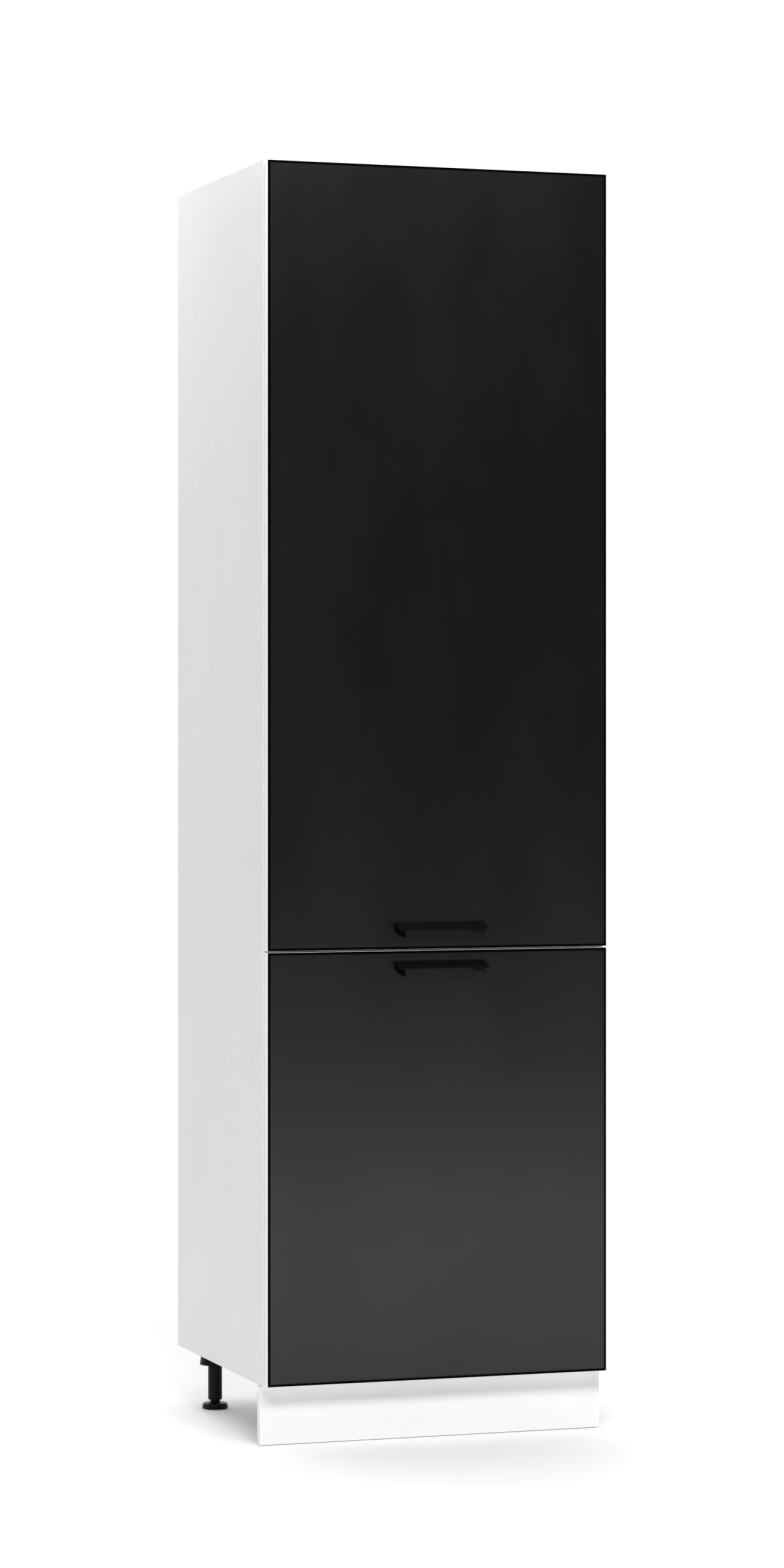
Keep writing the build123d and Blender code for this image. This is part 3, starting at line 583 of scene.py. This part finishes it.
def soft_clear(name, colour):
    """Clear soft bumper: milky, slightly tacky, with dust in its skin."""
    finish = Finish(name, colour, 0.25, specular=0.5)
    dust = finish.remap(finish.noise(1200.0, 3.0), 0.58, 0.7, 0.0, 0.5)
    finish.link(finish.mix(dust, colour, shade(colour, 0.8)), "Base Color")
    finish.link(finish.remap(finish.noise(500.0, 2.0), 0.3, 0.7, 0.18, 0.4), "Roughness")
    finish.link(finish.bump(dust, 0.02 * MM, 0.4), "Normal")
    return finish.material


def paint(obj, material):
    """Gives an object that one material."""
    obj.data.materials.clear()
    obj.data.materials.append(material)


# ---------------------------------------------------------------- pieces

FRONT_CORNER = 0.8 * MM
FRONT_FLAT_MARGIN = 12 * MM
SMALLEST_CORNER = 0.05 * MM
BAND_GAP = 0.05 * MM
BAND_SINK = 0.02 * MM
BAND_ROUND = 0.25 * MM
BAND_CORNER = 0.3 * MM


def loop_rows(low, high, radius, insets, depths):
    """Rectangle loops for a list of insets and depths; the corner radius shrinks with the inset."""
    rows = []
    for inset, depth in zip(insets, depths):
        corner = max(radius - inset, SMALLEST_CORNER)
        path = rectangle_loop(low[0] + inset, high[0] - inset, low[2] + inset, high[2] - inset,
                              corner)
        rows.append(np.stack([path[:, 0], np.full(len(path), depth), path[:, 1]], axis=1))
    return np.array(rows)


def front_shell(low, high, roll_width, roll_depth):
    """A thin front whose face rolls off at its edges.

    The roll is a quarter of an ellipse: inset = width (1 - cos t), drop = depth (1 - sin t).
    """
    t = np.linspace(0, math.pi / 2, 9)
    insets = np.concatenate([[0.0], roll_width * (1 - np.cos(t)), [roll_width + FRONT_FLAT_MARGIN]])
    depths = np.concatenate([[high[1]], low[1] + roll_depth * (1 - np.sin(t)), [low[1]]])
    rows = loop_rows(low, high, FRONT_CORNER, insets, depths)
    count = rows.shape[1]
    faces = grid_faces(len(rows), count, False, True).tolist()
    faces.append(list(range(count)))
    faces.append(list(range((len(rows) - 1) * count, len(rows) * count)))
    return rows.reshape(-1, 3), faces


def band_shell(low, high, thickness):
    """A band round a board's four edges: a thin rounded strip carried round the rectangle."""
    front, back = low[1] + BAND_GAP, high[1] - BAND_GAP
    strip = [(-BAND_SINK, front), (thickness, front), (thickness, back), (-BAND_SINK, back)]
    outline = rounded(strip, BAND_ROUND, closed=True)
    rows = loop_rows(low, high, BAND_CORNER, -outline[:, 0], outline[:, 1])
    return rows.reshape(-1, 3), grid_faces(len(rows), rows.shape[1], True, True)


def strip_shell(node, thickness):
    """A thin rounded strip on a board's front edge, along whichever way the board runs."""
    low, high = [np.array(corner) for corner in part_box(node)]
    upright = high[2] - low[2] > high[0] - low[0]
    across = 0 if upright else 2
    along = 2 if upright else 0
    a0, a1 = low[across] + BAND_GAP, high[across] - BAND_GAP
    y0, y1 = low[1] - thickness, low[1] + BAND_SINK
    outline = rounded([(a0, y1), (a0, y0), (a1, y0), (a1, y1)], BAND_ROUND, closed=True)
    points = np.zeros((len(outline), 3))
    points[:, across] = outline[:, 0]
    points[:, 1] = outline[:, 1]
    start = np.zeros(3)
    end = np.zeros(3)
    start[along] = low[along] + BAND_GAP
    end[along] = high[along] - BAND_GAP
    return prism(points, start, end)


class CABINET_OT_door_fronts(bpy.types.Operator):
    """Makes the black fronts of both doors, with their edges rolled off"""
    bl_idname = "cabinet.door_fronts"
    bl_label = "Door fronts"

    def execute(self, context):
        for door in DOORS:
            node = f"{door}_door_facing"
            low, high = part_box(node)
            shell = front_shell(low, high, sizes().roll_width, sizes().roll_depth)
            piece = add_piece(f"{door}_door_front", [shell], BODY_OF[node], (node,))
            paint(piece, black_front(f"{door}_front_black", low, high, colours().black))
        return {"FINISHED"}


class CABINET_OT_edge_bands(bpy.types.Operator):
    """Makes the white bands round the doors and on the front edges of the body's boards"""
    bl_idname = "cabinet.edge_bands"
    bl_label = "Edge bands"

    def execute(self, context):
        material = edge_banding("edge_band_white", colours().edge_white)
        thickness = sizes().band_thickness
        for door in DOORS:
            node = f"{door}_door_board"
            piece = add_piece(f"{door}_door_edge_band", [band_shell(*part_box(node), thickness)],
                              BODY_OF[node])
            paint(piece, material)
        for node in (*SIDE_BOARDS, *FIXED_BOARDS, *SHELVES):
            piece = add_piece(f"{node}_edge_band", [strip_shell(node, thickness)], BODY_OF[node])
            paint(piece, material)
        return {"FINISHED"}


class CABINET_OT_boards(bpy.types.Operator):
    """Finishes the white boards, the thin back and the strip that joins it"""
    bl_idname = "cabinet.boards"
    bl_label = "Boards"

    def execute(self, context):
        doors = [f"{door}_door_board" for door in DOORS]
        for node in (*SIDE_BOARDS, *FIXED_BOARDS, *SHELVES, *doors, "plinth_board"):
            low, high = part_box(node)
            # Painted light: the plinth board takes the lighter edge white instead of the board
            # white, so its front looks more brightly lit than the other white boards.
            white = colours().edge_white if node == "plinth_board" else colours().white
            paint(NODES[node], melamine(f"{node}_melamine", low, high, white))
        fibre = painted_fibreboard("back_fibreboard", colours().white)
        for node in ("upper_back_panel", "lower_back_panel"):
            paint(NODES[node], fibre)
        paint(NODES["back_joint_strip"], edge_banding("joint_strip_plastic", colours().edge_white))
        return {"FINISHED"}


HANDLE_DROP = 12.8 * MM
HANDLE_LIP = 1.6 * MM
HANDLE_SHEET = 2.4 * MM
HANDLE_SPLAY = 9.5 * MM
HANDLE_END_ROOT = 8.0 * MM
HANDLE_END_SHEET = 2.0 * MM
HANDLE_END_TUCK = 0.05 * MM
HANDLE_END_CLEAR = 0.3 * MM
HANDLE_BOSS_SPACING = 128 * MM
HANDLE_BOSS_DROP = 10 * MM
HANDLE_BOSS_RADIUS = 4.5 * MM
HANDLE_BOSS_LENGTH = 14 * MM


def handle_shells(low, high, rounding):
    """A sloping grip, two splayed end plates and two bosses.

    The grip's outline lies across the handle: outwards from the door and down to the lip.
    An end plate's lower edge is a quarter of an ellipse from the lip back to its root, and
    its upper edge is tucked a hair under the grip's face.
    """
    low, high = np.array(low), np.array(high)
    length, reach, end_drop = high[0] - low[0], high[1] - low[1], high[2] - low[2]
    door, top = high[1], high[2]
    slope_end = reach - HANDLE_LIP
    lip_top = -HANDLE_DROP + HANDLE_LIP
    outline = np.array([(0, 0), (slope_end, lip_top + HANDLE_LIP / 2), (reach, lip_top),
                        (reach, -HANDLE_DROP), (slope_end, -HANDLE_DROP), (0, -HANDLE_SHEET)])
    left = np.full(len(outline), low[0])
    grip = np.stack([left, door - outline[:, 0], top + outline[:, 1]], axis=1)
    shells = [prism(grip, (0, 0, 0), (length, 0, 0))]
    splay = math.atan2(HANDLE_SPLAY, reach)
    t = np.linspace(0, math.pi / 2, 14)
    front = reach - HANDLE_END_TUCK
    belly_out = front - (front - HANDLE_END_CLEAR) * np.sin(t)
    belly_down = -HANDLE_END_ROOT - (end_drop - HANDLE_END_ROOT) * np.cos(t)
    upper_edge = np.array([(0, 0), (slope_end, lip_top + HANDLE_LIP / 2), (front, lip_top)])
    belly = np.stack([belly_out, belly_down], axis=1)
    edge = np.concatenate([upper_edge - (0, HANDLE_END_TUCK), belly])
    for side in (-1, 1):
        x = side * (length / 2 - edge[:, 0] * math.tan(splay))
        plate = np.stack([x, door - edge[:, 0], top + edge[:, 1]], axis=1)
        inwards = np.array([-side * math.cos(splay), 0.0, 0.0]) * HANDLE_END_SHEET
        shells.append(prism(plate, (0, 0, 0), inwards))
        profile = rounded([(0, -HANDLE_BOSS_LENGTH), (HANDLE_BOSS_RADIUS, -HANDLE_BOSS_LENGTH),
                           (HANDLE_BOSS_RADIUS, 0), (0, 0)], rounding)
        centre = (side * HANDLE_BOSS_SPACING / 2, door, top - HANDLE_BOSS_DROP)
        shells.append(lathe(profile, centre, "Y", 40))
    return shells


class CABINET_OT_handles(bpy.types.Operator):
    """Makes both handles with rounded edges"""
    bl_idname = "cabinet.handles"
    bl_label = "Handles"

    def execute(self, context):
        for door in DOORS:
            node = f"{door}_handle"
            low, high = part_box(node)
            shells = handle_shells(low, high, sizes().handle_round)
            piece = add_piece(f"{door}_handle_cast", shells, BODY_OF[node], (node,))
            bevel(piece, sizes().handle_round)
            paint(piece, powder_coat(f"{door}_handle_coat", low, high, colours().handle_black))
        return {"FINISHED"}


SOCKET_WAIST = 1.4 * MM
SOCKET_TOP = 4.0 * MM
SOCKET_INNER = 23.2 * MM
SOCKET_FLARE = 1.2 * MM
SOCKET_FLARE_RISE = 2 * MM
SOCKET_ROUND = 0.4 * MM
SLEEVE_OUTER = 14.65 * MM
SLEEVE_BORE = 12.25 * MM
TUBE_BORE = 9.65 * MM
NUT_BORE = 5.06 * MM
NUT_RISE = 8 * MM
NUT_HEIGHT = 16 * MM
FOOT_HEIGHT = 10.5 * MM
FOOT_DISH = 0.5 * MM
FOOT_DISH_RADIUS = 13 * MM
FOOT_RING_RADIUS = 14 * MM
FOOT_RIM = 1.2 * MM
FOOT_SHOULDER = 2.6 * MM
FOOT_SHOULDER_DROP = 3.2 * MM
FOOT_CROWN_DROP = 0.4 * MM
FOOT_COLLAR = 1.2 * MM
FOOT_COLLAR_RISE = 1.4 * MM
FOOT_NECK_RADIUS = 8.5 * MM
FOOT_NECK_TOP = 17 * MM
FOOT_STEM_RADIUS = 5 * MM
FOOT_SCALLOPS = 12
FOOT_SCALLOP_DEPTH = 0.45 * MM
FOOT_SCALLOP_RADIUS = 20 * MM
FOOT_SCALLOP_BASE = 0.6 * MM


def middle(low, high):
    """Middle of a box across its height, as a point on the floor plane."""
    return ((low[0] + high[0]) / 2, (low[1] + high[1]) / 2, 0)


def socket_profile(low, high):
    """Outside of the waisted cup, its hollow, and the sleeve inside.

    The waist is SOCKET_WAIST * cos(t pi / 2)^2 deep, with t from -1 at the bottom to 1 at the top.
    """
    radius = (high[0] - low[0]) / 2
    t = np.linspace(-1, 1, 15)[:, None]
    outside = np.concatenate([radius - SOCKET_WAIST * np.cos(t * math.pi / 2) ** 2,
                              (low[2] + high[2]) / 2 - t * (high[2] - low[2]) / 2], axis=1)
    under = high[2] - SOCKET_TOP
    inside = [(SOCKET_INNER + SOCKET_FLARE, low[2]), (SOCKET_INNER, low[2] + SOCKET_FLARE_RISE),
              (SOCKET_INNER, under), (SLEEVE_OUTER, under), (SLEEVE_OUTER, low[2]),
              (SLEEVE_BORE, low[2]), (SLEEVE_BORE, under), (0, under)]
    return np.concatenate([[(0, high[2])], outside, rounded(inside, SOCKET_ROUND)])


def tube_profile(low, high, rounding):
    """The tube's outside, bore and nut, as a closed outline."""
    radius = (high[0] - low[0]) / 2
    nut = low[2] + NUT_RISE
    corners = [(radius, low[2]), (radius, high[2]), (TUBE_BORE, high[2]),
               (TUBE_BORE, nut + NUT_HEIGHT), (NUT_BORE, nut + NUT_HEIGHT), (NUT_BORE, nut),
               (TUBE_BORE, nut), (TUBE_BORE, low[2])]
    return rounded(corners, rounding, closed=True)


def foot_profile(low, high, rounding):
    """A dished underside, a rounded rim, a neck and a stem."""
    radius = (high[0] - low[0]) / 2
    corners = [(0, FOOT_DISH), (FOOT_DISH_RADIUS, FOOT_DISH), (FOOT_RING_RADIUS, 0),
               (radius - FOOT_RIM, 0), (radius, FOOT_RIM),
               (radius, FOOT_HEIGHT - FOOT_SHOULDER_DROP),
               (radius - FOOT_SHOULDER, FOOT_HEIGHT - FOOT_CROWN_DROP),
               (FOOT_NECK_RADIUS + FOOT_COLLAR, FOOT_HEIGHT),
               (FOOT_NECK_RADIUS, FOOT_HEIGHT + FOOT_COLLAR_RISE),
               (FOOT_NECK_RADIUS, FOOT_NECK_TOP), (FOOT_STEM_RADIUS, FOOT_NECK_TOP),
               (FOOT_STEM_RADIUS, high[2]), (0, high[2])]
    return rounded(corners, rounding)


def scallops(angle, height, radius):
    """Shallow grip hollows round the foot's rim: the cube of the positive part of a cosine."""
    ripple = np.clip(np.cos(FOOT_SCALLOPS * angle), 0, 1) ** 3
    outer = (radius > FOOT_SCALLOP_RADIUS) * (height > FOOT_SCALLOP_BASE)
    return -FOOT_SCALLOP_DEPTH * ripple * outer


def ring_lathe(profile, centre, count):
    """A closed outline turned all the way round an upright axis, such as a tube with a bore."""
    points, _ = lathe(profile, centre, "Z", count)
    return points, grid_faces(len(profile), count, True, True)


class CABINET_OT_legs(bpy.types.Operator):
    """Makes the leg sockets, tubes and levelling feet"""
    bl_idname = "cabinet.legs"
    bl_label = "Legs and feet"

    def execute(self, context):
        rounding = sizes().plastic_round
        black = colours().plastic_black
        for corner in CORNERS:
            for part in ("leg_socket", "leg_tube", "foot"):
                node = f"{part}_{corner}"
                low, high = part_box(node)
                centre = middle(low, high)
                if part == "leg_socket":
                    shell = lathe(socket_profile(low, high), centre, "Z", 72)
                elif part == "leg_tube":
                    shell = ring_lathe(tube_profile(low, high, rounding), centre, 64)
                else:
                    shell = lathe(foot_profile(low, high, rounding), centre, "Z", 144, scallops)
                piece = add_piece(f"{node}_moulded", [shell], BODY_OF[node], (node,))
                paint(piece, moulded_plastic(f"{node}_plastic", low, high, black))
        for side in ("left", "right"):
            node = f"plinth_clip_{side}"
            low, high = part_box(node)
            paint(NODES[node], moulded_plastic(f"{node}_plastic", low, high, black))
        return {"FINISHED"}


# node: the way its heads face, shank radius, head radius, head height
SCREWS = {
    "hinge_plate_screws": ((-1, 0, 0), 2.5 * MM, 4.2 * MM, 1.8 * MM),
    "hinge_arm_screws": ((-1, 0, 0), 2.0 * MM, 4.0 * MM, 2.0 * MM),
    "upper_cup_screws": ((0, 1, 0), 1.75 * MM, 3.5 * MM, 1.2 * MM),
    "lower_cup_screws": ((0, 1, 0), 1.75 * MM, 3.5 * MM, 1.2 * MM),
    "upper_handle_screws": ((0, 1, 0), 2.0 * MM, 4.0 * MM, 2.2 * MM),
    "lower_handle_screws": ((0, 1, 0), 2.0 * MM, 4.0 * MM, 2.2 * MM),
    "plinth_clip_screws": ((0, 1, 0), 1.75 * MM, 3.5 * MM, 1.2 * MM),
    "leg_socket_screws": ((0, 0, -1), 1.75 * MM, 3.5 * MM, 1.2 * MM),
    "wall_bracket_screws": ((0, 0, -1), 1.75 * MM, 3.5 * MM, 1.2 * MM),
}

# Share of the head's height that is its dome.
SCREW_DOME = 0.45


def screw_shells(node):
    """A cross-headed screw in the box of each of a node's screws."""
    direction, shank, head, head_height = SCREWS[node]
    way = np.array(direction, float)
    axis = int(np.argmax(np.abs(way)))
    shells = []
    for low, high in solid_boxes(node):
        face = (low + high) / 2
        face[axis] = high[axis] if way[axis] > 0 else low[axis]
        length = high[axis] - low[axis] - head_height
        seat = face - way * head_height
        shells.append(screw_shell(seat, way, shank, length, head, (1 - SCREW_DOME) * head_height,
                                  SCREW_DOME * head_height))
    return shells


class CABINET_OT_screws(bpy.types.Operator):
    """Makes every screw with a domed head and a cross"""
    bl_idname = "cabinet.screws"
    bl_label = "Screws"

    def execute(self, context):
        for node in SCREWS:
            low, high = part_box(node)
            piece = add_piece(f"{node}_crossed", screw_shells(node), BODY_OF[node], (node,))
            steel = colours().screw_steel
            paint(piece, plated_steel(f"{node}_steel", steel, low, high, 0.26))
        return {"FINISHED"}


PIN_RADIUS = 2.5 * MM
PIN_COLLAR = 3.4 * MM
PIN_COLLAR_THICK = 0.9 * MM
PIN_LENGTH = 8 * MM
PIN_NOSE = 0.5 * MM
BUMPER_FALL = 0.75


def pin_shell(low, high):
    """A shelf pin: a peg in the side board, a thin collar, and a peg under the shelf."""
    side = 1 if low[0] + high[0] > 0 else -1
    wall = (low[0] + high[0]) / 2
    end, collar = side * PIN_LENGTH, -side * PIN_COLLAR_THICK
    corners = [(0, end), (PIN_RADIUS, end), (PIN_RADIUS, 0), (PIN_COLLAR, 0),
               (PIN_COLLAR, collar), (PIN_RADIUS, collar), (PIN_RADIUS, -end), (0, -end)]
    centre = (wall, (low[1] + high[1]) / 2, (low[2] + high[2]) / 2)
    return lathe(rounded(corners, PIN_NOSE), centre, "X", 32)


def bumper_shell(low, high):
    """A low round dot: its height falls off as 1 - BUMPER_FALL * (r / radius)^4."""
    radius = (high[0] - low[0]) / 2
    height = high[1] - low[1]
    r = np.linspace(0, radius, 10)
    dome = np.stack([r, height * (1 - BUMPER_FALL * (r / radius) ** 4)], axis=1)
    profile = np.concatenate([dome, [(radius, 0.0), (0, 0.0)]])
    return lathe(profile, ((low[0] + high[0]) / 2, low[1], (low[2] + high[2]) / 2), "Y", 40)


class CABINET_OT_small_fittings(bpy.types.Operator):
    """Makes the shelf pins and door bumpers, and finishes cams, bolts, dowels and brackets"""
    bl_idname = "cabinet.small_fittings"
    bl_label = "Small fittings"

    def execute(self, context):
        low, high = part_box("shelf_pins")
        pins = add_piece("shelf_pins_collared", [pin_shell(*b) for b in solid_boxes("shelf_pins")],
                         BODY_OF["shelf_pins"], ("shelf_pins",))
        steel = colours().pin_steel
        paint(pins, plated_steel("shelf_pin_steel", steel, low, high, 0.24, DRAWN_ACROSS))
        clear = soft_clear("bumper_clear", colours().bumper)
        for door in DOORS:
            node = f"{door}_door_bumpers"
            piece = add_piece(f"{node}_domed", [bumper_shell(*b) for b in solid_boxes(node)],
                              BODY_OF[node], (node,))
            paint(piece, clear)
        zinc = zinc_plate("zinc_spangled", colours().zinc)
        for node in ("cam_locks", "wall_bracket_left", "wall_bracket_right"):
            paint(NODES[node], zinc)
        low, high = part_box("cam_bolts")
        steel = colours().bolt_steel
        paint(NODES["cam_bolts"],
              plated_steel("cam_bolt_steel", steel, low, high, 0.3, DRAWN_ACROSS))
        paint(NODES["wooden_dowels"], beech("dowel_beech", colours().dowel))
        return {"FINISHED"}


class CABINET_OT_hinges(bpy.types.Operator):
    """Finishes the hinge cups, pins, arms and mounting plates"""
    bl_idname = "cabinet.hinges"
    bl_label = "Hinges"

    def execute(self, context):
        for door in DOORS:
            for part in ("hinge_cups", "hinge_pins", "hinge_arms", "hinge_plates"):
                node = f"{door}_{part}"
                low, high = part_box(node)
                nickel = plated_steel(f"{node}_nickel", colours().nickel, low, high, 0.25)
                paint(NODES[node], nickel)
        return {"FINISHED"}


# ---------------------------------------------------------------- studio

VIEW_TURN = math.radians(18.63)
VIEW_DISTANCE = 7.074
VIEW_SIDEWAYS = 0.2036
VIEW_HEIGHT = 1.1755
VIEW_FAR = 100
LENS = 98.93
SENSOR_WIDTH = 36
SHIFT_UP = -0.0321
FLOOR_HALF = 12
WORLD_BEHIND = 1.045
WORLD_BEFORE = 0.022
WORLD_LOW, WORLD_HIGH = 0.1, 0.68
# name: the light's middle, the point it faces, its width, its height and its brightness
LIGHTS = {
    "light_ceiling": ((5, 9, 4.5), (5, 9, 0), 18, 25, 1.21),
    "light_floor_front": ((0.1, -1.3, 4.2), (0.1, -1.3, 0), 3.0, 1.8, 3.2),
    "light_key_front": ((-0.8, -5.0, 5.0), (0, -0.25, 2.0), 5, 1.5, 14.0),
    "light_low_front": ((-0.3, -1.9, 0.16), (-0.3, 0, 0.1), 4.0, 0.28, 1.2),
    "light_side_back": ((-0.75, 0.68, 2.45), (-0.3, 0.28, 2.05), 0.4, 0.4, 3.6),
}


def soft_light(name, place, aim, width, height, level):
    """A soft rectangular light that faces a point; its level is its brightness seen face on."""
    light = bpy.data.lights.new(name, "AREA")
    light.shape = "RECTANGLE"
    light.size = width
    light.size_y = height
    light.energy = level * math.pi * width * height
    lamp = bpy.data.objects.new(name, light)
    bpy.context.scene.collection.objects.link(lamp)
    lamp.visible_camera = False
    lamp.location = place
    direction = np.array(aim, float) - np.array(place, float)
    lamp.rotation_euler = (math.atan2(math.hypot(direction[0], direction[1]), -direction[2]), 0,
                           math.atan2(direction[1], direction[0]) - math.pi / 2)


def add_floor(half):
    """A wide pale floor with faint clouds, from -half to half along X and Y."""
    mesh = bpy.data.meshes.new("studio_floor")
    mesh.from_pydata([(-half, -half, 0), (half, -half, 0), (half, half, 0), (-half, half, 0)], [],
                     [(0, 1, 2, 3)])
    floor = bpy.data.objects.new("studio_floor", mesh)
    bpy.context.scene.collection.objects.link(floor)
    colour = tuple(colours().floor)
    finish = Finish("floor_pale", colour, 0.7, specular=0.2)
    cloud = finish.remap(finish.noise(1.5, 3.0), 0.3, 0.7, 0.0, 1.0)
    finish.link(finish.mix(cloud, colour, shade(colour, 0.99)), "Base Color")
    paint(floor, finish.material)


def add_world(behind, before):
    """Soft all-round light: one level beyond the cabinet and a lower one in front of it.

    For a direction (X, Y, Z) the level rises smoothly with Y - |Z|.
    """
    world = bpy.data.worlds.new("studio_light")
    bpy.context.scene.world = world
    world.use_nodes = True
    tree = world.node_tree
    background = next(n for n in tree.nodes if n.type == "BACKGROUND")
    place = tree.nodes.new("ShaderNodeTexCoord")
    split = tree.nodes.new("ShaderNodeSeparateXYZ")
    tree.links.new(place.outputs["Generated"], split.inputs[0])
    steep = tree.nodes.new("ShaderNodeMath")
    steep.operation = "ABSOLUTE"
    tree.links.new(split.outputs["Z"], steep.inputs[0])
    sideways = tree.nodes.new("ShaderNodeMath")
    sideways.operation = "SUBTRACT"
    tree.links.new(split.outputs["Y"], sideways.inputs[0])
    tree.links.new(steep.outputs[0], sideways.inputs[1])
    level = tree.nodes.new("ShaderNodeMapRange")
    level.interpolation_type = "SMOOTHSTEP"
    for socket, number in zip(level.inputs[1:5], (WORLD_LOW, WORLD_HIGH, before, behind)):
        socket.default_value = number
    tree.links.new(sideways.outputs[0], level.inputs[0])
    tree.links.new(level.outputs[0], background.inputs["Strength"])
    background.inputs["Color"].default_value = (1, 1, 1, 1)


def add_camera():
    """A level camera to the left of the doors, framed a little below its axis."""
    left, front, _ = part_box("lower_door_facing")[0]
    right = np.array([math.cos(VIEW_TURN), -math.sin(VIEW_TURN)])
    ahead = np.array([math.sin(VIEW_TURN), math.cos(VIEW_TURN)])
    place = np.array([left, front]) + VIEW_SIDEWAYS * right - VIEW_DISTANCE * ahead
    lens = bpy.data.cameras.new("camera")
    lens.lens = LENS
    lens.sensor_width = SENSOR_WIDTH
    lens.shift_y = SHIFT_UP
    lens.clip_end = VIEW_FAR
    camera = bpy.data.objects.new("camera", lens)
    bpy.context.scene.collection.objects.link(camera)
    camera.location = (*place, VIEW_HEIGHT)
    camera.rotation_euler = (math.pi / 2, 0, -VIEW_TURN)
    bpy.context.scene.camera = camera


class CABINET_OT_studio(bpy.types.Operator):
    """Makes the pale floor, the soft lights and the camera"""
    bl_idname = "cabinet.studio"
    bl_label = "Studio"

    def execute(self, context):
        bpy.context.scene.view_settings.view_transform = "Standard"
        add_floor(FLOOR_HALF)
        add_world(WORLD_BEHIND, WORLD_BEFORE)
        for name, setting in LIGHTS.items():
            soft_light(name, *setting)
        add_camera()
        return {"FINISHED"}


# ---------------------------------------------------------------- add-on

OPERATORS = (CABINET_OT_studio, CABINET_OT_boards, CABINET_OT_edge_bands, CABINET_OT_door_fronts,
             CABINET_OT_handles, CABINET_OT_legs, CABINET_OT_screws, CABINET_OT_small_fittings,
             CABINET_OT_hinges)


class CABINET_PT_panel(bpy.types.Panel):
    """Lists the cabinet's sizes, colours and makers"""
    bl_idname = "CABINET_PT_panel"
    bl_label = "Tall Cabinet"
    bl_space_type = "VIEW_3D"
    bl_region_type = "UI"
    bl_category = "Cabinet"

    def draw(self, context):
        for group in (context.scene.cabinet_sizes, context.scene.cabinet_colours):
            box = self.layout.box()
            for name in group.__annotations__:
                box.prop(group, name)
        for operator in OPERATORS:
            self.layout.operator(operator.bl_idname)


CLASSES = (CabinetSizes, CabinetColours, *OPERATORS, CABINET_PT_panel)


def register():
    """Registers the classes and keeps the settings on the scene."""
    for item in CLASSES:
        bpy.utils.register_class(item)
    bpy.types.Scene.cabinet_sizes = bpy.props.PointerProperty(type=CabinetSizes)
    bpy.types.Scene.cabinet_colours = bpy.props.PointerProperty(type=CabinetColours)


def unregister():
    """Takes the settings and classes away again."""
    del bpy.types.Scene.cabinet_colours
    del bpy.types.Scene.cabinet_sizes
    for item in reversed(CLASSES):
        bpy.utils.unregister_class(item)


def main():
    """Makes everything in order."""
    register()
    for operator in OPERATORS:
        group, name = operator.bl_idname.split(".")
        getattr(getattr(bpy.ops, group), name)()


if __name__ == "__main__":
    main()
